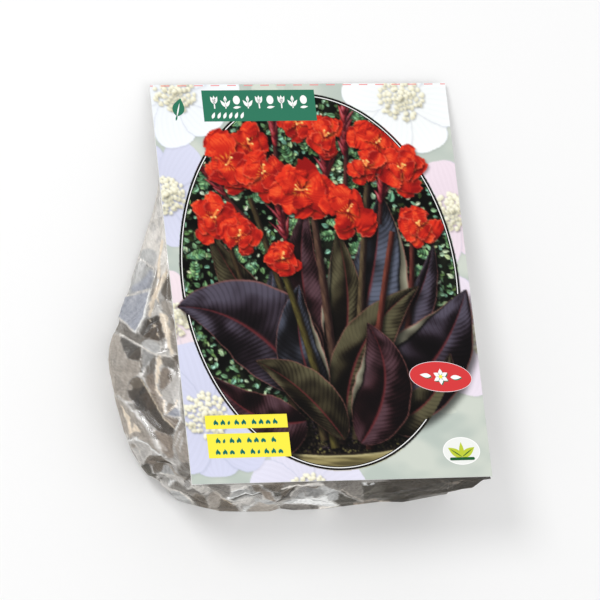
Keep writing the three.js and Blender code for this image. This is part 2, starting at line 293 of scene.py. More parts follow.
# ---------------------------------------------------------------- the bag's form
# How far across the film reaches at its front edge, front shoulder, gusset fold, back
# shoulder and back edge, a few distances down the card.

DEPTH_SHARES = np.array([0.0, 0.2, 0.5, 0.8, 1.0])
LEFT_SIDE = [
    (SEAL_TOP, (4, 4, 4, 4, 4)),
    (SEAL_BOTTOM, (4, 3.5, 5, 3.5, 4)),
    (50, (4, 2, 7, 1.9, 6)),
    (80, (4, -1, 2, -8.6, -3)),
    (108, (3, -8, -9, -19, -13)),
    (125, (3, -15, -24, -26, -18)),
    (150, (3, -14, -25.4, -23.2, -13)),
    (178, (3, -9, -16, -16, -7)),
    (191, (4, -4, -9, -9, 0)),
    (BAG_BOTTOM, (6, 2, 0, 1, 8)),
]
RIGHT_SIDE = [
    (SEAL_TOP, (146, 146, 146, 146, 146)),
    (SEAL_BOTTOM, (146, 146.5, 145, 146.5, 146)),
    (50, (146, 149, 144, 149, 144)),
    (80, (146, 150, 145, 152, 147)),
    (108, (147, 151, 150, 154, 148)),
    (150, (147, 152, 155, 155, 149)),
    (178, (147, 151, 153, 152, 146)),
    (191, (148, 150, 152, 150, 145)),
    (BAG_BOTTOM, (149.4, 149, 148, 146, 142)),
]
FRONT_STEPS = 192       # steps along the bottom edge of the front and back walls
WALL_SKIP = 4           # the hidden walls have one column for so many steps
SIDE_STEPS = 96
BOTTOM_BULGE = 2.5
ROWS = ((SEAL_TOP, 46, 3.0), (46, 108, 0.85), (108, BAG_BOTTOM, 0.62))  # from, to, step
VENTS = ((38, 58), (112, 58))   # across and down, through the back film
VENT_RADIUS = 3.0
VENT_RIM = 0.9          # width of the melted rim round a vent
VENT_SIDES = 24
VENT_FIELD = (11, 7)    # how far across and down from a vent the film is meshed anew
ON_BACK = 1e-6          # millimetres off the back within which a point lies on it
WHOLE, WITHIN = 0, 1    # what delaunay_2d_cdt fills: everything, or only inside closed edges
VENT_WELD = 1e-7
KNOT_WELD = 1e-4


def smooth_curve(knots, values, at):
    """Values between knots on a smooth curve through all of them."""
    knots = np.asarray(knots, float)
    values = np.asarray(values, float)
    slopes = np.gradient(values, knots, axis=0)
    k = np.clip(np.searchsorted(knots, at, side="right") - 1, 0, len(knots) - 2)
    span = (knots[k + 1] - knots[k])[..., None]
    t = (np.asarray(at, float)[..., None] - knots[k][..., None]) / span
    ahead = values[k] * (1 + 2 * t) * (1 - t) ** 2 + values[k + 1] * t * t * (3 - 2 * t)
    return ahead + span * (slopes[k] * t * (1 - t) ** 2 - slopes[k + 1] * t * t * (1 - t))


def side_outline(stations, downs):
    """Across and depth of one side of the bag: one row for each distance down."""
    reach = smooth_curve([s[0] for s in stations], [s[1] for s in stations], downs)
    back = back_depth(downs)
    steps = np.linspace(0, len(DEPTH_SHARES) - 1, SIDE_STEPS + 1)
    places = np.arange(len(DEPTH_SHARES))
    across = smooth_curve(places, reach.T, steps)
    share = smooth_curve(places, DEPTH_SHARES[:, None], steps)
    share = np.clip(share, 0, 1)
    depth = FRONT_DEPTH + share * (back - FRONT_DEPTH)
    return across.T, depth.T


# How much higher than the card's bottom edge the bag's bottom ends at its back, some
# distances across: the corners aren't filled, and the packing lies in lumps.
BACK_LIFT = [(-12, 11), (-4, 10.6), (4, 8.2), (12, 5.4), (19, 3.4), (28, 1.3), (39, 0.8), (53, 0.6),
             (58, 1.9), (65, 0.8), (80, 1.1), (95, 2.5), (109, 3.8), (120, 3.2), (128, 4.4),
             (139, 6.1), (150, 7.2)]
LIFT_FROM = 165         # down the card
LATE_FROM = 60          # across; from there on the lift starts behind the front edge
LATE_SHARES = (0.1, 1.0)
RIGHT_END = (145, 150)  # across, where the bottom is rounded off
END_LIFT = 1.6
END_SHARES = (0.0, 0.25)


def corner_lift(across, share):
    """How much the bottom is lifted at a share of its depth, and rounded at its right end."""
    at_back = np.interp(across, *np.array(BACK_LIFT).T)
    backwards = np.where(across < LATE_FROM, share, share * smoothstep(share, *LATE_SHARES))
    end = smoothstep(across, *RIGHT_END) * END_LIFT * smoothstep(share, *END_SHARES)
    return backwards * at_back + end


def bag_rings(downs):
    """Points (across, down, depth) of the bag's cross-sections, one ring a row."""
    left_across, left_depth = side_outline(LEFT_SIDE, downs)
    right_across, right_depth = side_outline(RIGHT_SIDE, downs)
    t = np.linspace(0, 1, FRONT_STEPS, endpoint=False)[None, :]
    front = left_across[:, :1] * (1 - t) + right_across[:, :1] * t
    back = right_across[:, -1:] * (1 - t) + left_across[:, -1:] * t
    across = np.concatenate(
        [front, right_across[:, :-1], back, left_across[:, :0:-1]], axis=1)
    depth = np.concatenate(
        [np.full_like(front, FRONT_DEPTH), right_depth[:, :-1],
         np.repeat(back_depth(downs)[:, None], FRONT_STEPS, axis=1), left_depth[:, :0:-1]],
        axis=1)
    down = np.repeat(downs[:, None], across.shape[1], axis=1)
    share = (depth - FRONT_DEPTH) / (back_depth(down) - FRONT_DEPTH)
    lifted = down - smoothstep(down, LIFT_FROM, BAG_BOTTOM) * corner_lift(across, share)
    depth = np.minimum(depth, back_depth(lifted))
    return np.stack([across, lifted, depth], axis=-1)


def rim_index(i, j, count):
    """The ring's point at a lid's edge, i steps across and j steps deep."""
    if j == 0:
        return i
    if i == FRONT_STEPS:
        return FRONT_STEPS + j
    if j == SIDE_STEPS:
        return 2 * FRONT_STEPS + SIDE_STEPS - i
    return (count - j) % count


def lid_grid(ring, base, first_new):
    """Vertex numbers and new points of a lid spanned between the stretches of its rim."""
    count = len(ring)
    numbers = np.empty((FRONT_STEPS + 1, SIDE_STEPS + 1), dtype=int)
    added = []
    corner = {key: ring[rim_index(*key, count)] for key in
              ((0, 0), (FRONT_STEPS, 0), (0, SIDE_STEPS), (FRONT_STEPS, SIDE_STEPS))}
    for i in range(FRONT_STEPS + 1):
        for j in range(SIDE_STEPS + 1):
            if i in (0, FRONT_STEPS) or j in (0, SIDE_STEPS):
                numbers[i, j] = base + rim_index(i, j, count)
                continue
            s, t = i / FRONT_STEPS, j / SIDE_STEPS
            point = ((1 - t) * ring[rim_index(i, 0, count)]
                     + t * ring[rim_index(i, SIDE_STEPS, count)]
                     + (1 - s) * ring[rim_index(0, j, count)]
                     + s * ring[rim_index(FRONT_STEPS, j, count)]
                     - (1 - s) * (1 - t) * corner[0, 0] - s * (1 - t) * corner[FRONT_STEPS, 0]
                     - (1 - s) * t * corner[0, SIDE_STEPS]
                     - s * t * corner[FRONT_STEPS, SIDE_STEPS])
            swell = math.sin(math.pi * s) * math.sin(math.pi * t)
            numbers[i, j] = first_new + len(added)
            added.append(point + np.array([0, BOTTOM_BULGE * swell, 0]))
    return numbers, np.array(added)


def grid_faces(a, b, c, d):
    """Four-cornered faces from four grids of vertex numbers."""
    return [tuple(face) for face in np.stack([a, b, c, d], axis=-1).reshape(-1, 4)]


def bag_surface():
    """The bag as one smooth surface, closed but for the vents: (points on the card's
    measure, faces)."""
    downs = np.concatenate([np.arange(*stretch) for stretch in ROWS] + [[BAG_BOTTOM]])
    rings = bag_rings(downs)
    count = rings.shape[1]
    back_start = FRONT_STEPS + SIDE_STEPS
    walls = np.arange(count)
    place_on_wall = np.where(walls < back_start, walls, walls - back_start)
    kept = walls[(place_on_wall >= FRONT_STEPS) | (place_on_wall % WALL_SKIP == 0)]
    body = rings[:-1, kept]
    rows, columns = body.shape[:2]
    number = np.arange(rows * columns).reshape(rows, columns)
    after = np.roll(number, -1, axis=1)
    faces = grid_faces(number[:-1], number[1:], after[1:], after[:-1])
    rim = rows * columns
    for k in range(columns):
        start, end = kept[k], kept[k + 1] if k + 1 < columns else count
        fine = [rim + step % count for step in range(start, end + 1)]
        faces.append((int(after[-1, k]), int(number[-1, k]), *fine))
    last, added = lid_grid(rings[-1], rim, rim + count)
    points = np.concatenate([body.reshape(-1, 3), rings[-1], added])
    faces += grid_faces(last[:-1, :-1], last[:-1, 1:], last[1:, 1:], last[1:, :-1])
    faces.append(tuple(range(columns)))
    return punch_vents(points, faces)


def lies_on_back(points):
    return points[:, 2] > back_depth(points[:, 1]) - ON_BACK


def punch_vents(points, faces):
    """The same surface with a round hole in the flat back for each vent."""
    on_back = lies_on_back(points)
    turns = np.arange(VENT_SIDES) * 2 * math.pi / VENT_SIDES
    circle = np.stack([np.cos(turns), np.sin(turns)], axis=-1)
    for middle in np.array(VENTS, dtype=float):
        away = np.abs(points[:, :2] - middle)
        near = on_back & (away < VENT_FIELD).all(axis=1)
        cut = [face for face in faces if all(near[corner] for corner in face)]
        sides = [(face[k - 1], face[k]) for face in cut for k in range(len(face))]
        border = [side for side in sides if side[::-1] not in set(sides)]
        known = sorted({corner for side in border for corner in side})
        number = {corner: k for k, corner in enumerate(known)}
        rings = np.concatenate([middle + circle * (VENT_RADIUS + VENT_RIM),
                                middle + circle * VENT_RADIUS])
        loops = [(len(known) + start + k, len(known) + start + (k + 1) % VENT_SIDES)
                 for start in (0, VENT_SIDES) for k in range(VENT_SIDES)]
        flat = np.concatenate([points[known, :2], rings])
        edges = [(number[a], number[b]) for a, b in border] + loops
        found = delaunay_2d_cdt([Vector(p) for p in flat], edges, [], WITHIN, VENT_WELD)
        first = [origins[0] for origins in found[3]]
        whole = known + [len(points) + k for k in range(len(rings))]
        faces = [face for face in faces if not all(near[corner] for corner in face)]
        for triangle in found[2]:
            centre = flat[[first[k] for k in triangle]].mean(axis=0)
            if np.hypot(*(centre - middle)) > VENT_RADIUS:
                faces.append(tuple(whole[first[k]] for k in triangle))
        points = np.concatenate([points, np.column_stack([rings, back_depth(rings[:, 1])])])
        on_back = np.concatenate([on_back, np.zeros(len(rings), dtype=bool)])
    return points, faces


# ---------------------------------------------------------------- creases of the film
# The folds that show are runs of (x, y, rise): a place in the picture's pixels, and how far
# the film stands out there in millimetres. Flat facets of film span between the runs.

OUTLINE = [(160, 187), (148.8, 223), (140, 250), (128, 293), (119, 317), (111.3, 334),
           (108.2, 360), (113, 395), (119, 414), (126.5, 438), (142, 466), (146, 476),
           (158.6, 487), (176, 498.4), (199, 506.5), (218, 511.5), (243, 512.5), (273, 511),
           (300, 510.5), (322, 509.5), (340, 505.5), (376, 503), (401, 503.4), (415, 498.6),
           (458, 493.6), (466, 491.5), (491, 476)]
CARD_EDGE = [(158, 170), (163, 215), (168, 262), (175, 325), (180, 372), (186, 425),
             (193, 483), (216, 486), (255, 484), (300, 483), (350, 481), (400, 480),
             (450, 478), (491, 476)]
FOLDS = [
    # the folded gusset hanging over the flank, and the hollow beside and below it
    [(160, 230, 0.6), (158.6, 267, 1.0), (153, 288.5, 1.4), (148.8, 310, 1.6), (139.5, 333.6, 1.8)],
    [(119, 317, 0.8), (132.5, 330.8, 1.4), (139.5, 333.6, 1.8)],
    [(120, 322, -0.9), (131, 337, -1.3), (141.5, 338, -1.4), (151.5, 312, -1.2),
     (155.5, 290, -1.0), (161, 268, -0.8)],
    [(126, 298, 0.9), (136.9, 295, 0.3), (146.6, 292, 1.2)],
    [(140, 258.5, 0.7), (146, 264, 0.1), (152, 269.4, 0.9)],
    [(137, 312, 0.2), (131, 322, 1.0)],
    # along the card
    [(162, 282, 1.3), (157.5, 298, 1.5), (157, 306, 0.2)],
    [(166, 300, -0.8), (161, 312, 1.1), (165, 319, 1.5), (167, 332, 1.3), (171.6, 351.4, 1.7),
     (177, 353.5, 1.2)],
    [(157, 325, -0.9), (160, 340, -1.1), (151, 336, -0.2)],
    [(171, 335, -0.3), (174, 345, -0.2)],
    # the long crease below the gusset
    [(111.3, 334, 0.2), (123.9, 336, 0.9), (142.3, 347, 1.3), (157.5, 354.6, 1.6),
     (177, 353.5, 1.2)],
    [(146.6, 341.5, 0.9), (163, 348, 1.1)],
    [(131, 350, -1.1), (127, 357, -0.9)],
    [(118, 350, 0.1), (116, 372, 0.3)],
    # down from it
    [(141.8, 347.5, 1.2), (140, 373, 0.8), (143.4, 376.3, 1.3), (152, 393.7, 1.5),
     (165, 416.4, 1.7), (177, 426, 1.2)],
    [(149.5, 360, -0.6), (149, 381, -0.5)],
    [(128, 372, -0.6), (126, 386, 0.2)],
    [(156.8, 356.8, 1.6), (156, 375, 1.8), (157.5, 391.5, 1.7), (165, 401, 1.7), (165, 415, 1.7)],
    [(165, 401, 1.7), (172, 409, 1.2), (181.3, 419.7, 1.9)],
    [(165, 416, 1.7), (181.3, 420.5, 1.9), (177, 427.3, 1.2)],
    [(174, 415.5, 0.2), (176, 422.5, 0.1)],
    [(167, 365, -1.3), (169, 380, -1.2), (163, 388, -0.4), (172, 397, 0.2)],
    [(138, 392, -1.3), (150, 410, -1.5), (163, 428, -1.2), (133, 402, -0.9)],
    # the fold rising from the outline towards the bottom corner
    [(114, 396, 0.4), (123.9, 401, 1.5), (136.9, 418.6, 1.5), (149.9, 437, 1.3), (163, 453.3, 1.2)],
    [(121, 407, -0.4), (129, 423, -0.6), (140, 436, -0.7)],
    [(148, 425, 0.0), (160, 441, -0.6)],
    [(129, 440.3, 1.1), (142.3, 438.5, 1.9), (152, 443.6, 1.9), (163, 453.3, 1.7)],
    [(138, 452, -0.9), (149, 451, -1.1), (144, 460, -0.4)],
    [(146.6, 461, 0.7), (154.2, 456, 1.5), (165, 458, 1.4), (177, 464.2, 1.2)],
    [(152, 466, -0.9), (166, 465, -1.1)],
    [(150, 474, 0.9), (158.6, 470.7, 1.4), (177, 474, 1.6), (186, 470, 0.5)],
    [(181.3, 421, 1.9), (174.8, 436, 1.3), (173.8, 453.3, 1.2), (182.4, 464, 1.3),
     (191, 470.7, 0.8)],
    [(183, 436, 0.9), (184, 452, 0.7)],
    [(170, 443, -0.8), (168, 450, -0.6)],
    # round the bottom corner
    [(158, 479, -0.8), (172, 480, -0.9), (186, 478, -0.4)],
    [(163, 484, 1.0), (170, 484, 1.3), (184, 488.4, 1.4), (199, 499, 1.1)],
    [(172, 493, -0.5), (186, 499, -0.5)],
    [(192.5, 486, 0.5), (201, 491, 1.6), (211.4, 502.6, 1.4), (217, 510, 0.2)],
    [(190, 493, -0.6), (200, 503, -0.4)],
    # the underside of the bag, from left to right
    [(205, 488, -0.4), (216, 494, -0.8), (224, 504, -0.8), (232, 509, -0.2)],
    [(214, 487.5, 0.9), (226, 489.5, 1.4), (240, 494, 0.5), (252.7, 489.4, 1.4), (281, 491.5, 1.5),
     (262, 497.9, 1.8), (233.8, 500.2, 1.4), (220, 497, 0.9)],
    [(243, 491, -0.5), (247, 497, -0.9)],
    [(262, 494, -0.6), (240, 505, -0.8)],
    [(262, 498, 1.8), (249, 506.5, 0.6)],
    [(256, 502.5, -0.3), (268, 505, 0.8), (281, 497.9, 1.5), (316.4, 495.5, 1.7), (335, 504, 0.9)],
    [(281, 506, -0.7), (300, 502.5, -1.0), (318, 503, -0.7)],
    [(296, 490, -0.8), (316, 489, -0.7)],
    [(300, 486.5, 0.5), (330, 489, 1.0), (352, 486, 0.4)],
    [(335, 496, -0.5), (352, 501, 0.3)],
    [(352, 492, 0.7), (372, 490, -0.2), (395, 494, 0.8), (412, 489, 0.1), (441, 487, 0.6)],
    [(372, 498, -0.5), (392, 486, -0.4), (425, 484, -0.4), (430, 493, -0.3), (460, 484, -0.2)],
]
# Facets between scattered knots: the step between knots, how far they stand in or out in
# millimetres, and a seed.
SMALL_FOLDS = (8.5, 0.30, 81)   # in the picture, in pixels
FLANK_FOLDS = (10.0, 1.3, 71)   # where the picture doesn't reach, in millimetres
END_FOLDS = (8.0, 0.45, 73)     # on the steep bottom end, in millimetres
PICTURE_SPAN = ((95, 175), (505, 525))  # the pixels round the bag
KNOT_SPREAD = 0.42      # share of a step that a knot may lie off its place
LEAST_LENGTH = 1e-12    # keeps an edge of no length from failing
# A fold line gets a painted highlight, strongest where the film bends most.
CREASE_LIGHT = 1.1      # how far a bright fold line reaches on each side
BEND_LIGHT = 2.2        # brightness of a fold line for the slope that changes over it


def spread_knots(low, high, step, seed):
    """Points of a loose grid, each moved a little at random."""
    random = np.random.default_rng(seed)
    across = np.arange(low[0], high[0] + step, step)
    along = np.arange(low[1], high[1] + step, step)
    grid = np.stack(np.meshgrid(across, along, indexing="ij"), axis=-1).reshape(-1, 2)
    return grid + random.uniform(-KNOT_SPREAD, KNOT_SPREAD, grid.shape) * step


def facets(at, knots, rises, lines=()):
    """Heights on flat facets between knots, each point's facet number, and how strongly
    it lies on a ridge, from 0 to 1."""
    made = delaunay_2d_cdt([Vector(k) for k in knots], list(lines), [], WHOLE, KNOT_WELD)
    spots = np.array([tuple(v) for v in made[0]])
    given = np.asarray(knots, float)
    rise = np.array([rises[np.argmin(((given - spot) ** 2).sum(axis=1))] for spot in spots])
    triangles = np.array([f for f in made[2] if len(f) == 3])
    slopes = np.array([facet_slope(spots[t], rise[t]) for t in triangles])
    bends = ridge_bends(triangles, spots, slopes)
    order = np.argsort(at[:, 0])
    sorted_across = at[order, 0]
    height = np.zeros(len(at))
    number = np.full(len(at), -1)
    ridge = np.zeros(len(at))
    for index, (triangle, slope) in enumerate(zip(triangles, slopes)):
        corners = spots[triangle]
        hit, inwards = points_within(corners, at, order, sorted_across)
        height[hit] = rise[triangle[0]] + (at[hit] - corners[0]) @ slope
        number[hit] = index
        for side, pair in enumerate(sides_of(triangle)):
            near_side = np.clip(1 - inwards[:, side] / CREASE_LIGHT, 0, 1)
            ridge[hit] = np.maximum(ridge[hit], np.clip(bends.get(pair, 0), 0, 1) * near_side)
    return height, number, ridge


def points_within(corners, at, order, sorted_across):
    """Numbers of the points in a facet, and how far each lies inwards from its sides."""
    low, high = corners.min(axis=0), corners.max(axis=0)
    near = order[np.searchsorted(sorted_across, low[0]):
                 np.searchsorted(sorted_across, high[0], side="right")]
    near = near[(at[near, 1] >= low[1]) & (at[near, 1] <= high[1])]
    inward = quarter_turn(corners[[1, 2, 0]] - corners)
    inward /= np.linalg.norm(inward, axis=1, keepdims=True) + LEAST_LENGTH
    if (corners[2] - corners[0]) @ inward[0] < 0:
        inward = -inward
    inwards = np.stack([(at[near] - c) @ n for c, n in zip(corners, inward)], axis=-1)
    held = (inwards >= -TINY).all(axis=1)
    return near[held], inwards[held]


def sides_of(triangle):
    """A facet's sides as pairs of knots."""
    return [frozenset((triangle[k], triangle[(k + 1) % 3])) for k in range(3)]


def facet_slope(corners, rise):
    """Rise per unit across and along a flat facet."""
    sides = corners[1:] - corners[0]
    area = sides[0, 0] * sides[1, 1] - sides[0, 1] * sides[1, 0]
    if abs(area) < TINY:
        return np.zeros(2)
    return np.linalg.solve(sides, rise[1:] - rise[0])


def ridge_bends(triangles, spots, slopes):
    """How far the film bends outwards over each edge, for edges as pairs of knots."""
    beside = {}
    for index, triangle in enumerate(triangles):
        for pair in sides_of(triangle):
            beside.setdefault(pair, []).append(index)
    bends = {}
    for pair, owners in beside.items():
        if len(owners) != 2:
            continue
        first, second = (spots[triangles[k]].mean(axis=0) for k in owners)
        way = (second - first) / (np.linalg.norm(second - first) + TINY)
        bends[pair] = BEND_LIGHT * ((slopes[owners[0]] - slopes[owners[1]]) @ way)
    return bends


def scattered_facets(at, step, rise, seed, span=None):
    """Facets between scattered knots, over all the points or over a span of them."""
    low, high = span or (at.min(axis=0) - step, at.max(axis=0) + step)
    knots = spread_knots(low, high, step, seed)
    return facets(at, knots, np.random.default_rng(seed + 1).uniform(-1, 1, len(knots)) * rise)


def seen_facets(pixels):
    """The facets of the listed folds at places in the picture."""
    knots, rises, lines = [], [], []
    rims = [[(x, y, 0.0) for x, y in OUTLINE], [(x, y, 0.0) for x, y in CARD_EDGE]]
    for run in rims + FOLDS:
        first = None
        for x, y, rise in run:
            here = (float(x), float(y))
            if here in knots:
                number = knots.index(here)
                rises[number] = max(rises[number], rise, key=abs)
            else:
                number = len(knots)
                knots.append(here)
                rises.append(rise)
            if first is not None:
                lines.append((first, number))
            first = number
    return facets(pixels, knots, rises, lines)


SHARP = 0.75            # softness in pixels up to which an outline keeps its corners
# Millimetres over which the film comes free: away from the floor, back from the card, back
# from the front film's plane anywhere, and down from the seal.
FREE_OF_FLOOR = (0.3, 4.0)
FREE_OF_CARD = (0.2, 3.0)
FREE_OF_EDGE = (0.0, 1.5)
FREE_OF_SEAL = (SEAL_BOTTOM, 45)
CARD_MARGIN = 0.5
CARD_REACH = 0.6        # the film counts as behind the card so far past its sides
CARD_REACH_DOWN = 0.4   # and past its bottom edge
CARD_PRESS = 0.1        # it may come so much nearer to the card than its flat place
PLANE_GAP = 0.2         # and stays so far behind the card's plane beside the card
FLOOR_GAP = 0.02        # and over the floor
TURNED_ENOUGH = (0.0, 0.15)     # how squarely the film faces the camera where it is shown


def line_distance(pixels, line):
    """Distance in pixels from each point to a broken line."""
    best = np.full(len(pixels), np.inf)
    for start, end in zip(line[:-1], line[1:]):
        a, b = np.array(start, float), np.array(end, float)
        t = np.clip((pixels - a) @ (b - a) / ((b - a) @ (b - a)), 0, 1)
        best = np.minimum(best, np.linalg.norm(pixels - (a + t[:, None] * (b - a)), axis=1))
    return best


def cut_corners(outline):
    """A closed outline with each corner cut off at a quarter of its sides."""
    corners = np.array(outline, float)
    after = np.roll(corners, -1, axis=0)
    return np.stack([0.75 * corners + 0.25 * after, 0.25 * corners + 0.75 * after],
                    axis=1).reshape(-1, 2)


def area_share(pixels, outline, soft):
    """1 inside an outline in the picture, 0 outside, with a soft edge of some pixels."""
    inside = np.zeros(len(pixels), dtype=bool)
    if soft > SHARP:
        outline = cut_corners(outline)
    closed = [*outline, outline[0]]
    x, y = pixels[:, 0], pixels[:, 1]
    for (x1, y1), (x2, y2) in zip(closed[:-1], closed[1:]):
        crosses = (y1 > y) != (y2 > y)
        at = x1 + (y - y1) * (x2 - x1) / (y2 - y1 or TINY)
        inside ^= crosses & (x < at)
    distance = line_distance(pixels, closed)
    return smoothstep(np.where(inside, distance, -distance), -soft, soft)


def loose_share(points):
    """How free the film is: 0 where it lies on the floor, by the card or in the seal."""
    across, down, depth = points.T
    off_floor = smoothstep(back_depth(down) - depth, *FREE_OF_FLOOR)
    beside = (across <= CARD_MARGIN) | (across >= CARD_WIDTH - CARD_MARGIN) | (down >= CARD_HEIGHT)
    off_card = np.where(beside, 1.0, smoothstep(depth - FRONT_DEPTH, *FREE_OF_CARD))
    off_edge = smoothstep(depth - FRONT_DEPTH, *FREE_OF_EDGE)
    below_seal = smoothstep(down, *FREE_OF_SEAL)
    return off_floor * off_card * off_edge * below_seal


def vent_rims(points):
    """1 at the edge of a vent, falling to 0 over the width of its rim."""
    away = np.min([np.linalg.norm(points[:, :2] - vent, axis=1) for vent in VENTS], axis=0)
    return lies_on_back(points) * smoothstep(away, VENT_RADIUS + VENT_RIM, VENT_RADIUS)


def faces_camera(piece):
    """1 where a smooth mesh turns towards the camera, 0 where it turns away."""
    towards = -card_direction(picture_axes()[2])
    return smoothstep(vertex_normals(piece) @ towards, *TURNED_ENOUGH)


def to_card(points):
    """The card's measure (across, down, depth) in mm of row-frame points in metres."""
    local = points / MM - np.array([CORNER_X, CORNER_Y, CORNER_Z])
    down = -local[:, 1] * math.cos(SLOPE) + local[:, 2] * math.sin(SLOPE)
    depth = -local[:, 1] * math.sin(SLOPE) - local[:, 2] * math.cos(SLOPE)
    return np.stack([local[:, 0], down, depth], axis=-1)


def keep_in_place(measured):
    """Keeps the film behind the card and above the floor."""
    across, down, depth = measured.T
    behind = (across > -CARD_REACH) & (across < CARD_WIDTH + CARD_REACH)
    behind = behind & (down < CARD_HEIGHT + CARD_REACH_DOWN)
    depth = np.maximum(depth, np.where(behind, FRONT_DEPTH - CARD_PRESS, PLANE_GAP))
    depth = np.minimum(depth, back_depth(down) - FLOOR_GAP)
    return np.stack([across, down, depth], axis=-1)


# The tones that the film shows from the front, in sRGB, each with how milky the film is there.
# The light ones are largely painted highlights and glints of the lamps. The darkest ones are painted
# shade, and the dark packing where it shows through.
FILM_TONES = {
    "cream": ((219, 205, 186), 0.83),
    "glint": ((221, 221, 219), 0.84),
    "pale": ((208, 203, 196), 0.76),
    "straw": ((186, 172, 153), 0.74),
    "pearl": ((186, 182, 177), 0.71),
    "mist": ((169, 168, 166), 0.73),
    "steel": ((157, 159, 167), 0.76),
    "sand": ((160, 152, 143), 0.63),
    "smoke": ((150, 148, 145), 0.62),
    "clay": ((143, 132, 121), 0.55),
    "dun": ((128, 122, 115), 0.53),
    "umber": ((117, 108, 98), 0.49),
    "dark_packing_and_shade": ((98, 91, 84), 0.41),
    "slate": ((100, 94, 86), 0.52),
    "deepest_shade": ((88, 81, 73), 0.45),
}
